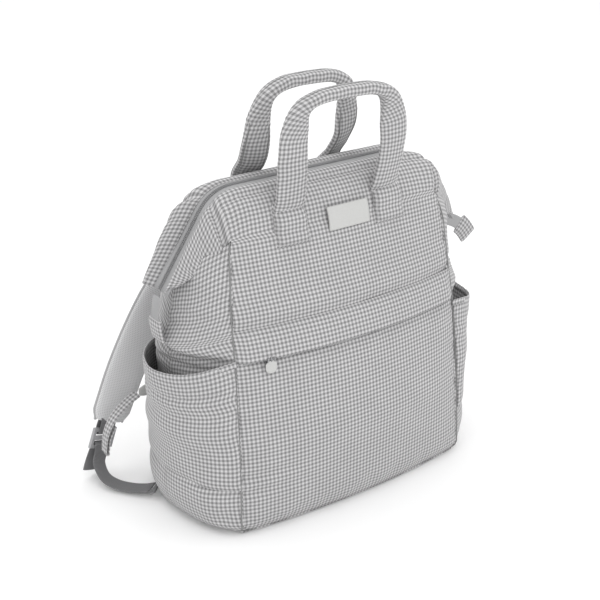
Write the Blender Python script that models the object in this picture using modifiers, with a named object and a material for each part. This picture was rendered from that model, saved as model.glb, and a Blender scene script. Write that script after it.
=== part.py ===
"""Wide-mouth diaper backpack: padded body, two wire-framed mouth flaps, zips, pockets,
carry handles and shoulder straps.

Frame: metres, +Z up, +X to the bag's right, +Y to its back.  The origin is the middle of
the flat base.  Every solid is its own object, named for the part it is.
"""
import math

import bmesh
import bpy
import numpy as np
from mathutils import Matrix, Vector

# ---------------------------------------------------------------- driving dimensions
GAP = 0.0003                # clearance between pieces that touch
WALL = 0.006                # padded wall: fabric, foam and backing
HALF_DEPTH = 0.0875         # mid-plane to the front and rear seams at the base
BASE_RADIUS = 0.016         # rounding of the bottom edge
WALL_FOOT = 0.005           # height at which the walls start above the base panel

# height, half width at the seams, lean toward the mid-plane, outward bulge in the middle
FRONT_STATIONS = (
    (0.000, 0.1525, 0.0000, 0.011),
    (0.100, 0.1495, 0.0050, 0.018),
    (0.200, 0.1463, 0.0165, 0.017),
    (0.250, 0.1427, 0.0265, 0.0135),
    (0.300, 0.1348, 0.0395, 0.008),
    (0.350, 0.1228, 0.0550, 0.001),
)
GUSSET_TOP = 0.2555          # top of the side gusset in the mid-plane
GUSSET_PUFF = 0.029         # how far the side gusset stands out between its seams

# mouth: both flaps swing about the X axis through PIVOT_Z in the mid-plane
PIVOT_Z = 0.252
RIDGE_TOP = 0.357           # height of the zip along the closed mouth
RIDGE_CORNER_X = 0.125      # where the top turns down into the side legs
RIDGE_END_X = 0.195         # where a leg's line meets the pivot height
RIDGE_BEND = 0.026          # run of the rounded corner each way
CORE_RADIUS = 0.0742        # everything that stays with the body lies inside this round core
CORE_EDGE_RADIUS = 0.0685   # its radius at the front and rear seams
CORE_EDGE_X = 0.133
CORE_END_X = 0.181
FLAP_WALL = 0.0040
FLAP_EDGE_Y = 0.0093        # flap edge beside the zip tape
TAPE_EDGE_Y = 0.0025
COIL_HALF = 0.0021
WIRE_RADIUS = 0.0018
WIRE_DEPTH = 0.0086         # wire centre below the flap's outer skin
WIRE_Y = 0.0125

# front pocket
POCKET_TOP = 0.1935
SIDE_POCKET_FOOT = 0.058
SIDE_POCKET_CLOTH = 0.0025
YOKE_FOOT = 0.2030
YOKE_TOP = 0.300            # upper edge of the fabric that stays with the body
ZIP_HEIGHT = 0.1982
PLACKET_TOP = 0.229
ZIP_SLIDER_X = -0.110       # the slider rests near the left end
ZIP_HALF_LENGTH = 0.136

# handles
HANDLE_X = 0.0615
HANDLE_TOP = 0.4505         # centre of the grip
HANDLE_FOOT = 0.346
HANDLE_HINGE_Z = 0.340
STRAP_HALF_WIDTH = 0.0165
STRAP_HALF_THICK = 0.0045
GRIP_HALF_HEIGHT = 0.0068
GRIP_HALF_WIDTH = 0.0125

WEB_HALF_WIDTH = 0.0125
WEB_HALF_THICK = 0.0008

COLOURS = {                 # base colour, roughness, metallic
    "gingham": ((0.52, 0.52, 0.52), 0.85, 0.0),
    "lining": ((0.60, 0.60, 0.61), 0.80, 0.0),
    "mesh": ((0.50, 0.50, 0.51), 0.90, 0.0),
    "tape": ((0.42, 0.42, 0.43), 0.80, 0.0),
    "coil": ((0.38, 0.38, 0.39), 0.45, 0.0),
    "webbing": ((0.15, 0.15, 0.155), 0.75, 0.0),
    "elastic": ((0.55, 0.55, 0.55), 0.80, 0.0),
    "leather": ((0.66, 0.66, 0.65), 0.55, 0.0),
    "plastic": ((0.55, 0.55, 0.56), 0.40, 0.0),
    "zinc": ((0.55, 0.55, 0.56), 0.35, 1.0),
    "steel": ((0.60, 0.60, 0.60), 0.30, 1.0),
    "board": ((0.20, 0.20, 0.20), 0.60, 0.0),
}


# ---------------------------------------------------------------- scene and materials
def clear_scene():
    for obj in list(bpy.data.objects):
        bpy.data.objects.remove(obj, do_unlink=True)


def new_collection(name):
    collection = bpy.data.collections.new(name)
    bpy.context.scene.collection.children.link(collection)
    return collection


def make_material(name, colour, roughness, metallic):
    material = bpy.data.materials.new(name)
    material.use_nodes = True
    shader = material.node_tree.nodes["Principled BSDF"]
    shader.inputs["Base Color"].default_value = (*colour, 1.0)
    shader.inputs["Roughness"].default_value = roughness
    shader.inputs["Metallic"].default_value = metallic
    material.diffuse_color = (*colour, 1.0)
    return material


clear_scene()
PARTS = new_collection("diaper_bag")
CUTTERS = new_collection("cutters")
MATERIALS = {name: make_material(name, *values) for name, values in COLOURS.items()}


def add_object(name, mesh, material, collection=PARTS):
    obj = bpy.data.objects.new(name, mesh)
    collection.objects.link(obj)
    if material:
        mesh.materials.append(MATERIALS[material])
    return obj


def hang_on_pivot(name, point, pieces):
    """Parent the pieces that move together to an empty on their joint's axis."""
    pivot = bpy.data.objects.new(name, None)
    pivot.empty_display_size = 0.02
    pivot.location = point
    PARTS.objects.link(pivot)
    for piece in pieces:
        piece.parent = pivot
        piece.matrix_parent_inverse = Matrix.Translation(-Vector(point))
    return pivot


# ---------------------------------------------------------------- generic solids
def mesh_from_faces(name, verts, faces):
    mesh = bpy.data.meshes.new(name)
    mesh.from_pydata([tuple(v) for v in verts], [], faces)
    bm = bmesh.new()
    bm.from_mesh(mesh)
    bmesh.ops.recalc_face_normals(bm, faces=bm.faces)
    bm.to_mesh(mesh)
    bm.free()
    return mesh


def slab(name, outer, inner, material):
    """Closed solid between two skins, each a grid of points with the same layout."""
    rows, cols = len(outer), len(outer[0])
    verts = [p for row in outer for p in row] + [p for row in inner for p in row]
    layer = rows * cols
    faces = []
    for r in range(rows - 1):
        for c in range(cols - 1):
            a, b = r * cols + c, r * cols + c + 1
            d, e = a + cols, b + cols
            faces.append((a, b, e, d))
            faces.append((layer + d, layer + e, layer + b, layer + a))
    rim = list(range(cols))
    rim += [r * cols + cols - 1 for r in range(1, rows)]
    rim += [(rows - 1) * cols + c for c in range(cols - 2, -1, -1)]
    rim += [r * cols for r in range(rows - 2, 0, -1)]
    for a, b in zip(rim, rim[1:] + rim[:1]):
        faces.append((b, a, layer + a, layer + b))
    return add_object(name, mesh_from_faces(name, verts, faces), material)


def loft(name, rings, material):
    """Closed solid through a run of equal rings, with a flat cap on each end."""
    count = len(rings[0])
    verts = [p for ring in rings for p in ring]
    faces = [tuple(range(count))]
    for r in range(len(rings) - 1):
        for i in range(count):
            j = (i + 1) % count
            faces.append((r * count + i, r * count + j, (r + 1) * count + j, (r + 1) * count + i))
    last = (len(rings) - 1) * count
    faces.append(tuple(range(last + count - 1, last - 1, -1)))
    return add_object(name, mesh_from_faces(name, verts, faces), material)


def smooth_path(points, steps):
    """Catmull-Rom curve through the points, with steps spans between each pair."""
    pts = [Vector(p) for p in points]
    ends = [2 * pts[0] - pts[1]] + pts + [2 * pts[-1] - pts[-2]]
    path = []
    for i in range(1, len(ends) - 2):
        p0, p1, p2, p3 = ends[i - 1:i + 3]
        for k in range(steps):
            t = k / steps
            path.append(0.5 * (2 * p1 + (p2 - p0) * t + (2 * p0 - 5 * p1 + 4 * p2 - p3) * t * t
                               + (3 * p1 - p0 - 3 * p2 + p3) * t ** 3))
    path.append(pts[-1])
    return path


def tangents(path):
    result = []
    for i in range(len(path)):
        ahead = path[min(i + 1, len(path) - 1)]
        behind = path[max(i - 1, 0)]
        result.append((ahead - behind).normalized())
    return result


def strap(name, path, side, half_width, half_thick, material, sides=4):
    """Strap along a path; side(i, t) gives the width direction at station i."""
    rings = []
    last = len(path) - 1
    for i, (point, along) in enumerate(zip(path, tangents(path))):
        across = Vector(side(i, i / last))
        across = (across - along * across.dot(along)).normalized()
        normal = along.cross(across)
        width = half_width(i / last)
        thick = half_thick(i / last)
        ring = []
        for k in range(sides):
            angle = 2 * math.pi * (k + 0.5) / sides
            c, s = math.cos(angle), math.sin(angle)
            scale = 1 / math.cos(math.pi / sides) if sides == 4 else 1
            power = 1 if sides == 4 else 0.6
            u = math.copysign(abs(c) ** power, c) * scale
            v = math.copysign(abs(s) ** power, s) * scale
            ring.append(point + across * width * u + normal * thick * v)
        rings.append(ring)
    return loft(name, rings, material)


def box(name, size, centre, material, rotation=None, bevel=0.0, collection=PARTS):
    mesh = bpy.data.meshes.new(name)
    bm = bmesh.new()
    bmesh.ops.create_cube(bm, size=1.0)
    bmesh.ops.scale(bm, vec=Vector(size), verts=bm.verts)
    bm.to_mesh(mesh)
    bm.free()
    obj = add_object(name, mesh, material, collection)
    obj.location = centre
    if rotation:
        obj.rotation_euler = rotation
    if bevel:
        rounding = obj.modifiers.new("rounding", "BEVEL")
        rounding.width = bevel
        rounding.segments = 2
        rounding.limit_method = "ANGLE"
    return obj


def cylinder(name, radius, depth, centre, rotation, material=None, collection=PARTS, sides=16):
    mesh = bpy.data.meshes.new(name)
    bm = bmesh.new()
    bmesh.ops.create_cone(bm, cap_ends=True, segments=sides, radius1=radius, radius2=radius,
                          depth=depth)
    bm.to_mesh(mesh)
    bm.free()
    obj = add_object(name, mesh, material, collection)
    obj.location = centre
    obj.rotation_euler = rotation
    return obj


def boolean(obj, tool, operation):
    tool.hide_render = True
    tool.display_type = "WIRE"
    modifier = obj.modifiers.new(f"{operation.lower()} {tool.name}", "BOOLEAN")
    modifier.operation = operation
    modifier.object = tool


def rod(name, points, radius, material):
    """Round wire along the points."""
    curve = bpy.data.curves.new(name, "CURVE")
    curve.dimensions = "3D"
    curve.bevel_depth = radius
    curve.bevel_resolution = 2
    curve.use_fill_caps = True
    spline = curve.splines.new("POLY")
    spline.points.add(len(points) - 1)
    for target, point in zip(spline.points, points):
        target.co = (*point, 1.0)
    obj = bpy.data.objects.new(name, curve)
    PARTS.objects.link(obj)
    curve.materials.append(MATERIALS[material])
    return obj


# ---------------------------------------------------------------- body skin
def station(z, column):
    heights = [row[0] for row in FRONT_STATIONS]
    values = [row[column] for row in FRONT_STATIONS]
    return float(np.interp(z, heights, values))


def foot_inset(z):
    """How far the skin is pulled in by the rounded bottom edge."""
    if z >= BASE_RADIUS:
        return 0.0
    rise = BASE_RADIUS - z
    return BASE_RADIUS - math.sqrt(BASE_RADIUS ** 2 - rise ** 2)


def half_width(z):
    return station(z, 1) - foot_inset(z)


def seam_y(z):
    """Distance of the front and rear seams from the mid-plane."""
    return HALF_DEPTH - station(z, 2) - foot_inset(z)


def face_y(x, z):
    """Distance of the front or rear skin from the mid-plane."""
    share = min(abs(x) / half_width(z), 1.0)
    return seam_y(z) + station(z, 3) * (1 - share ** 2)


def core_radius(x):
    share = min(abs(x) / CORE_EDGE_X, 1.0)
    barrel = CORE_RADIUS - (CORE_RADIUS - CORE_EDGE_RADIUS) * share ** 2
    return min(barrel, 1.5 * (CORE_END_X - abs(x)))


def gusset_x(v, z):
    """Side skin at v, from -1 at the front seam to 1 at the rear seam."""
    x = half_width(z) + GUSSET_PUFF * (1 - v * v)
    if z > PIVOT_Z:
        radius = math.hypot(v * seam_y(z), z - PIVOT_Z)
        x = min(x, CORE_END_X - (radius + GAP) / 1.5)
    return x


def height_at_radius(x, radius):
    """Height where the front skin reaches a distance from the pivot axis."""
    low, high = PIVOT_Z + 0.02, 0.350
    for _ in range(40):
        middle = (low + high) / 2
        reach = math.hypot(face_y(min(abs(x), half_width(middle)), middle), middle - PIVOT_Z)
        if reach < radius:
            low = middle
        else:
            high = middle
    return low


def face_panel(name, side, foot, top, depths, material, rows=8, cols=12, edge=1.0):
    """Front (side -1) or rear (side 1) panel between two heights; top may depend on x."""
    skins = []
    for depth in depths:
        grid = []
        for r in range(rows + 1):
            row = []
            for c in range(cols + 1):
                u = (2 * c / cols - 1) * edge
                limit = top(u) if callable(top) else top
                z = foot + (limit - foot) * r / rows
                x = u * (half_width(z) - depth - GAP)
                y = face_y(x, z) - depth
                row.append((x, side * y, z))
            grid.append(row)
        skins.append(grid)
    return slab(name, skins[0], skins[1], material)


def side_panel(name, side, foot, top, offsets, material, rows=8, cols=10, reach=1.0):
    """Side piece between two heights; each offset(v, z) is its distance outside the skin."""
    skins = []
    for offset in offsets:
        grid = []
        for r in range(rows + 1):
            row = []
            for c in range(cols + 1):
                v = -math.cos(math.pi * c / cols) * reach
                limit = top(v) if callable(top) else top
                z = foot + (limit - foot) * r / rows
                out = offset(v, (z - foot) / (limit - foot))
                inset = max(-out, 0.0)
                y = v * (seam_y(z) - inset - GAP)
                row.append((side * (gusset_x(v, z) + out), y, z))
            grid.append(row)
        skins.append(grid)
    return slab(name, skins[0], skins[1], material)


def body_ring(z, depth, face_steps=10, side_steps=8):
    """Closed outline of the body at one height, a distance inside the skin."""
    ring = []
    wide = half_width(z) - depth
    deep = seam_y(z) - depth
    for side in (-1, 1):
        for c in range(face_steps):
            x = side * (2 * c / face_steps - 1) * -wide
            ring.append((x, side * (face_y(x, z) - depth), z))
        for c in range(side_steps):
            v = side * (1 - 2 * c / side_steps)
            ring.append((-side * (gusset_x(v, z) - depth), v * deep, z))
    return ring


# ---------------------------------------------------------------- body
def build_base():
    rings = []
    for z, inset in ((0.0, 0.013), (0.0018, 0.0035), (WALL_FOOT - GAP, 0.0006)):
        rings.append([(x, y, z) for x, y, _ in body_ring(WALL_FOOT, inset)])
    loft("base_panel", rings, "gingham")
    clearance = WALL + 2 * GAP
    board = [[(x, y, z) for x, y, _ in body_ring(WALL_FOOT, clearance)]
             for z in (WALL_FOOT, WALL_FOOT + 0.0025)]
    loft("base_board", board, "board")


def build_walls():
    depths = (0.0, WALL)
    face_panel("front_pocket_panel", -1, WALL_FOOT, POCKET_TOP, depths, "gingham")
    face_panel("front_yoke", -1, YOKE_FOOT, YOKE_TOP, depths, "gingham", rows=6)
    face_panel("rear_panel", 1, WALL_FOOT, YOKE_TOP, depths, "gingham", rows=12)

    def gusset_top(v):
        return GUSSET_TOP + (YOKE_TOP - GUSSET_TOP) * abs(v)

    for side, word in ((-1, "left"), (1, "right")):
        side_panel(f"gusset_{word}", side, WALL_FOOT, gusset_top,
                   (lambda v, t: 0.0, lambda v, t: -WALL), "gingham", rows=10)


def build_lining():
    depth, thick = WALL + 0.0034, 0.0012
    heights = (0.248, 0.200, 0.150, 0.100, 0.050, 0.020, 0.0086)
    outer = [body_ring(z, depth) for z in heights]
    inner = [body_ring(z, depth + thick) for z in heights[:-1]]
    floor = [(x, y, heights[-1] + thick) for x, y, _ in body_ring(heights[-1], depth + thick)]
    loft("lining", outer[::-1] + inner + [floor], "lining")
    face_panel("front_pocket_lining", -1, 0.030, 0.190, (WALL + GAP, WALL + 0.0015), "lining",
               rows=6, edge=0.9)


def build_inner_pocket():
    size = (0.170, 0.0085, 0.120)
    centre = (0.0, 0.0655, 0.115)
    pocket = box("inner_slip_pocket", size, centre, "lining", bevel=0.0015)
    hollow = box("inner_slip_pocket_hollow", (size[0] - 0.004, size[1] - 0.0032, size[2]),
                 (centre[0], centre[1], centre[2] + 0.003), None, collection=CUTTERS)
    boolean(pocket, hollow, "DIFFERENCE")


def build_back_pad():
    """Air-mesh cushion on the rear panel, between the straps."""
    lift = 0.007

    def top(u):
        return 0.222 - 0.020 * u * u

    face_panel("back_pad", 1, 0.040, top, (-lift, -0.0014), "mesh", rows=8, edge=0.76)


# ---------------------------------------------------------------- front pocket zip
def front_strip(name, low, high, outer, inner, reach, material, cols=16):
    """Strip across the front, between two heights, standing out from the skin."""
    skins = []
    for proud in (outer, inner):
        grid = []
        for z in (low, high):
            xs = [reach * (2 * c / cols - 1) for c in range(cols + 1)]
            grid.append([(x, -(face_y(x, z) + proud), z) for x in xs])
        skins.append(grid)
    return slab(name, skins[0], skins[1], material)


def build_front_zip():
    front_strip("front_zip_tape", POCKET_TOP + GAP, YOKE_FOOT - GAP, -0.0006, -0.0018,
                ZIP_HALF_LENGTH, "tape")
    front_strip("front_zip_coil", ZIP_HEIGHT - 0.0014, ZIP_HEIGHT + 0.0014, 0.0014,
                -0.0003, ZIP_HALF_LENGTH - 0.002, "coil")
    front_strip("front_placket", YOKE_FOOT + 0.001, PLACKET_TOP, 0.0024, GAP, 0.1385, "gingham")


def zip_slider(name, centre, along, out, flange_low, flange_high, pin_across=False):
    """Zinc slider straddling the coil: cover plate, flanges, two lugs and a pin.

    along runs down the zip and out points away from the bag.  The pin lies along the zip,
    or across it.
    """
    along, out = Vector(along).normalized(), Vector(out).normalized()
    across = out.cross(along)
    turn = Matrix((along, across, out)).transposed().to_euler()
    place = Vector(centre)

    def at(a, b, c):
        return place + along * a + across * b + out * c

    plate = box(name, (0.0105, 0.0090, 0.0014), at(0, 0, 0.0026), "zinc", turn)
    pieces = []
    for k in (-1, 1):
        size = (0.0040, 0.0012, 0.0050) if pin_across else (0.0012, 0.0040, 0.0050)
        place_at = at(0, k * 0.0036, 0.0052) if pin_across else at(k * 0.0036, 0, 0.0052)
        pieces.append(box(f"{name}_lug_{k}", size, place_at, None, turn, collection=CUTTERS))
    if flange_low:
        pieces.append(box(f"{name}_flange_low", (0.0100, 0.0012, 0.0024),
                          at(0, -0.0036, 0.0016), None, turn, collection=CUTTERS))
    if flange_high:
        pieces.append(box(f"{name}_flange_high", (0.0100, 0.0012, 0.0024),
                          at(0, 0.0036, 0.0016), None, turn, collection=CUTTERS))
    pin_axes = (out, along, across) if pin_across else (across, out, along)
    pin_turn = Matrix(pin_axes).transposed().to_euler()
    pieces.append(cylinder(f"{name}_pin", 0.0008, 0.0080, at(0, 0, 0.0062), pin_turn,
                           collection=CUTTERS, sides=12))
    for piece in pieces:
        boolean(plate, piece, "UNION")
    return plate, at(0, 0, 0.0062)


def zip_puller(name, pin, along, hang, out):
    """Leather pull with an eye round the slider's pin, which lies along; it hangs along hang."""
    turn = Matrix((along, hang, out)).transposed().to_euler()
    eye_turn = Matrix((hang, out, along)).transposed().to_euler()
    eye = cylinder(name, 0.0022, 0.0050, pin, eye_turn, "leather")
    tab = box(f"{name}_tab", (0.0118, 0.0130, 0.0016), pin + hang * 0.0098, None, turn,
              bevel=0.0004, collection=CUTTERS)
    neck = box(f"{name}_neck", (0.0050, 0.0040, 0.0016), pin + hang * 0.0032, None, turn,
               collection=CUTTERS)
    bore = cylinder(f"{name}_bore", 0.0013, 0.0090, pin, eye_turn, collection=CUTTERS, sides=12)
    boolean(eye, neck, "UNION")
    boolean(eye, tab, "UNION")
    boolean(eye, bore, "DIFFERENCE")
    return eye


def slider_circle_y():
    """Centre of the circle that the front zip follows across the pocket, seen from above."""
    wide, bulge = half_width(ZIP_HEIGHT), station(ZIP_HEIGHT, 3)
    radius = (wide ** 2 + bulge ** 2) / (2 * bulge)
    return radius - face_y(0.0, ZIP_HEIGHT)


def build_front_slider():
    x, z = ZIP_SLIDER_X, ZIP_HEIGHT
    y = -face_y(x, z)
    slope = (face_y(x + 0.002, z) - face_y(x - 0.002, z)) / 0.004
    along = Vector((1.0, -slope, 0.0)).normalized()
    out = Vector((-slope, -1.0, 0.0)).normalized()
    slider, pin = zip_slider("front_zip_slider", (x, y, z), along, out, True, True)
    hang = Vector((0.0, 0.0, -1.0))
    puller = zip_puller("front_zip_puller", pin, along, hang, along.cross(hang).normalized())
    hang_on_pivot("front_zip_slider_pivot", (0.0, slider_circle_y(), z), [slider])
    hang_on_pivot("front_zip_puller_pivot", pin, [puller])


# ---------------------------------------------------------------- mouth
def ridge(leg_steps=5, bend_steps=4, top_steps=8):
    """Closed mouth line seen from the front, left to right: (x, z, outward x, outward z)."""
    leg = Vector((RIDGE_END_X - RIDGE_CORNER_X, 0.0, PIVOT_Z - RIDGE_TOP)).normalized()
    corner = Vector((RIDGE_CORNER_X, 0.0, RIDGE_TOP))
    foot = Vector((RIDGE_END_X, 0.0, PIVOT_Z)) - leg * 0.014
    start = corner + leg * RIDGE_BEND
    end = corner - Vector((RIDGE_BEND, 0.0, 0.0))
    half = [foot.lerp(start, k / leg_steps) for k in range(leg_steps)]
    for k in range(bend_steps + 1):
        t = k / bend_steps
        half.append((1 - t) ** 2 * start + 2 * t * (1 - t) * corner + t * t * end)
    steps = top_steps // 2
    half += [end.lerp(Vector((0.0, 0.0, RIDGE_TOP)), (k + 1) / steps) for k in range(steps)]
    line = [Vector((-p.x, 0.0, p.z)) for p in half] + half[-2::-1]
    result = []
    for point, along in zip(line, tangents(line)):
        result.append((point.x, point.z, -along.z, along.x))
    return result


def flap_edge_point(x_ridge, z_ridge):
    """Lower edge of a flap's outer skin for one station of the mouth line."""
    wide = half_width(0.315)
    leg_share = min(max((abs(x_ridge) - RIDGE_CORNER_X) / (RIDGE_END_X - RIDGE_CORNER_X), 0), 1)
    sign = math.copysign(1.0, x_ridge)
    if leg_share == 0:
        x = x_ridge * wide / RIDGE_CORNER_X
        radius = CORE_RADIUS + GAP + FLAP_WALL
        z = height_at_radius(x, radius)
        return Vector((x, face_y(x, z), z))
    x = wide + (CORE_END_X - 0.003 - wide) * leg_share
    radius = core_radius(x) + GAP + FLAP_WALL
    angle = math.radians(39 - 9 * leg_share)
    return Vector((sign * x, radius * math.sin(angle), PIVOT_Z + radius * math.cos(angle)))


def keep_outside_core(point, margin):
    """Push a point out from the pivot axis until it clears the round core."""
    radius = math.hypot(point.y, point.z - PIVOT_Z)
    least = core_radius(point.x) + margin
    if radius >= least:
        return point
    scale = least / max(radius, 1e-6)
    return Vector((point.x, point.y * scale, PIVOT_Z + (point.z - PIVOT_Z) * scale))


def flap_skins():
    """Outer and inner skin of a flap on the +Y side."""
    shares = (0.0, 0.10, 0.25, 0.47, 0.72, 1.0)
    swell = (0.0, 0.50, 0.90, 1.0, 0.55, 0.0)
    line = ridge()
    outer = [[] for _ in shares]
    for x, z, out_x, out_z in line:
        top = Vector((x, FLAP_EDGE_Y, z))
        low = flap_edge_point(x, z)
        leg_share = max((abs(x) - RIDGE_CORNER_X) / (RIDGE_END_X - RIDGE_CORNER_X), 0.0)
        height = 0.015 * (1 - min(leg_share, 1.0)) + 0.002
        for row, share, rise in zip(outer, shares, swell):
            point = top.lerp(low, share)
            radial = Vector((0.0, point.y, point.z - PIVOT_Z)).normalized()
            row.append(point + radial * height * rise)
    inner = []
    for r, row in enumerate(outer):
        inner_row = []
        for c, point in enumerate(row):
            down = outer[min(r + 1, len(outer) - 1)][c] - outer[max(r - 1, 0)][c]
            across = row[min(c + 1, len(row) - 1)] - row[max(c - 1, 0)]
            normal = across.cross(down).normalized()
            if normal.dot(Vector((point.x * 0.3, point.y, point.z - PIVOT_Z))) < 0:
                normal = -normal
            inner_row.append(keep_outside_core(point - normal * FLAP_WALL, GAP))
        inner.append(inner_row)
    return outer, inner


def mirror_y(points, side):
    return [(p[0], side * p[1], p[2]) for p in points]


def ridge_strip(name, side, low_y, high_y, outer, inner, material):
    """Strip along the mouth line between two distances from the mid-plane."""
    skins = []
    for proud in (outer, inner):
        grid = []
        for y in (low_y, high_y):
            grid.append([(x + nx * proud, side * y, z + nz * proud) for x, z, nx, nz in ridge()])
        skins.append(grid)
    return slab(name, skins[0], skins[1], material)


def build_flap(side, word):
    outer, inner = flap_skins()
    flap = slab(f"{word}_flap", [mirror_y(row, side) for row in outer],
                [mirror_y(row, side) for row in inner], "gingham")
    wire_path = [(x - nx * WIRE_DEPTH, side * WIRE_Y, z - nz * WIRE_DEPTH)
                 for x, z, nx, nz in ridge(top_steps=4)]
    wire = rod(f"{word}_frame_wire", wire_path[2:-2], WIRE_RADIUS, "steel")
    tape = ridge_strip(f"{word}_main_tape", side, TAPE_EDGE_Y, FLAP_EDGE_Y - GAP, 0.0002,
                       -0.0010, "tape")
    coil = ridge_strip(f"{word}_main_coil", side, GAP / 2, COIL_HALF, 0.0014, -0.0012, "coil")
    return flap, wire, tape, coil


def flap_patch(name, side, x_low, x_high, z_low, z_high, thick, material, cols=4, rows=3):
    """Patch sewn on a flap's face."""
    skins = []
    for proud in (thick + 0.0008, 0.0008):
        grid = []
        for r in range(rows + 1):
            z = z_low + (z_high - z_low) * r / rows
            row = []
            for c in range(cols + 1):
                x = x_low + (x_high - x_low) * c / cols
                point = Vector((x, face_y(x, z) + 0.0022, z))
                point = keep_outside_core(point, GAP + FLAP_WALL)
                radial = Vector((0.0, point.y, point.z - PIVOT_Z)).normalized()
                point = point + radial * proud
                row.append((point.x, side * point.y, point.z))
            grid.append(row)
        skins.append(grid)
    return slab(name, skins[0], skins[1], material)


def build_mouth_half(side, word):
    """One flap with its wire, its half of the zip and what is sewn on it."""
    pieces = list(build_flap(side, word))
    for sign, hand in ((-1, "left"), (1, "right")):
        low, high = sorted((sign * 0.040, sign * 0.083))
        pieces.append(flap_patch(f"{word}_handle_anchor_{hand}", side, low, high, 0.318, 0.338,
                                 0.0025, "gingham"))
    if side < 0:
        pieces.append(flap_patch("label_patch", side, -0.015, 0.033, 0.318, 0.335, 0.0010,
                                 "leather"))
    hang_on_pivot(f"{word}_mouth_pivot", (0.0, 0.0, PIVOT_Z), pieces)


def main_slider_place():
    leg = Vector((RIDGE_CORNER_X - RIDGE_END_X, 0.0, RIDGE_TOP - PIVOT_Z)).normalized()
    out = Vector((leg.z, 0.0, -leg.x))
    foot = Vector((RIDGE_END_X, 0.0, PIVOT_Z)) + leg * 0.036
    return foot, leg, out


def build_main_slider():
    foot, leg, out = main_slider_place()
    _, pin = zip_slider("main_zip_slider", foot, leg, out, False, False, pin_across=True)
    puller = zip_puller("main_zip_puller", pin, Vector((0.0, -1.0, 0.0)), -leg, out)
    hang_on_pivot("main_zip_puller_pivot", pin, [puller])


def build_end_tabs():
    """Tabs that close the ends of the main zip.

    The left one hangs flat against the side.  The right one stands out, turned a quarter turn
    so that its face shows from the front.
    """
    root_z = 0.2585
    for word, sign, angle, root_x in (("left", -1, 0, 0.191), ("right", 1, 52, 0.1935)):
        swing = math.radians(angle)
        away = Vector((sign * math.sin(swing), 0.0, -math.cos(swing)))
        root = Vector((sign * root_x, 0.0, root_z))
        path = [root + away * s for s in (0.0, 0.024, 0.025, 0.050)]
        widths = (0.0075, 0.0075, 0.0120, 0.0120)
        thicks = (0.0009, 0.0009, 0.0017, 0.0017)
        flat = Vector((0.0, 1.0, 0.0))
        face = flat if sign < 0 else away.cross(flat)
        tab = strap(f"zip_end_tab_{word}", path, lambda i, t: face,
                    lambda t: widths[round(t * 3)], lambda t: thicks[round(t * 3)], "gingham")
        hang_on_pivot(f"zip_end_tab_{word}_pivot", root, [tab])


# ---------------------------------------------------------------- side pockets
def pocket_rim(v):
    return 0.184 + 0.016 * max(-v, 0.0) ** 3 + 0.006 * max(v, 0.0) ** 3


def pocket_swell(v, t):
    return 0.028 * max(1 - v * v, 0.0) ** 0.25 * t ** 0.6


def build_side_pockets():
    thick, foot = SIDE_POCKET_CLOTH, SIDE_POCKET_FOOT
    for side, word in ((-1, "left"), (1, "right")):
        side_panel(f"side_pocket_{word}", side, foot, pocket_rim,
                   (lambda v, t: pocket_swell(v, t) + GAP + thick,
                    lambda v, t: pocket_swell(v, t) + GAP), "gingham", cols=14, reach=0.985)
        skins = []
        for inset in (GAP, GAP + 0.0010):
            grid = []
            for share in (0.875, 1.0):
                row = []
                for c in range(3, 12):
                    v = -math.cos(math.pi * c / 14) * 0.985
                    z = foot + (pocket_rim(v) - foot) * share
                    x = gusset_x(v, z) + pocket_swell(v, share) - inset
                    row.append((side * x, v * seam_y(z), z))
                grid.append(row)
            skins.append(grid)
        slab(f"side_pocket_elastic_{word}", skins[0], skins[1], "elastic")


# ---------------------------------------------------------------- handles
def handle_path(foot_y, waist_y, top_y):
    """Half of a handle's centre line, from the left foot to the top."""
    half = [(-HANDLE_X, foot_y, HANDLE_FOOT), (-HANDLE_X - 0.002, waist_y, 0.385),
            (-HANDLE_X, (waist_y + top_y) / 2, 0.418), (-0.0535, top_y, 0.4395),
            (-0.034, top_y, 0.4485), (0.0, top_y, HANDLE_TOP)]
    return half + [(-x, y, z) for x, y, z in half[-2::-1]]


def build_handles():
    lines = {"front": (-0.0540, -0.0560, -0.0570), "rear": (0.0470, 0.0170, 0.0090)}
    for word, levels in lines.items():
        path = smooth_path(handle_path(*levels), 3)

        def roll(t):
            """0 on the flat legs, 1 on the rolled grip."""
            return min(max((0.30 - abs(t - 0.5)) / 0.12, 0.0), 1.0)

        def wide(t):
            return STRAP_HALF_WIDTH + (GRIP_HALF_HEIGHT - STRAP_HALF_WIDTH) * roll(t)

        def thick(t):
            return STRAP_HALF_THICK + (GRIP_HALF_WIDTH - STRAP_HALF_THICK) * roll(t)

        def across(i, t):
            angle = math.pi * t
            return (math.cos(angle), 0.0, -math.sin(angle))

        handle = strap(f"{word}_handle", path, across, wide, thick, "gingham", sides=10)
        hang_on_pivot(f"{word}_handle_pivot", (0.0, levels[0], HANDLE_HINGE_Z), [handle])


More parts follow.
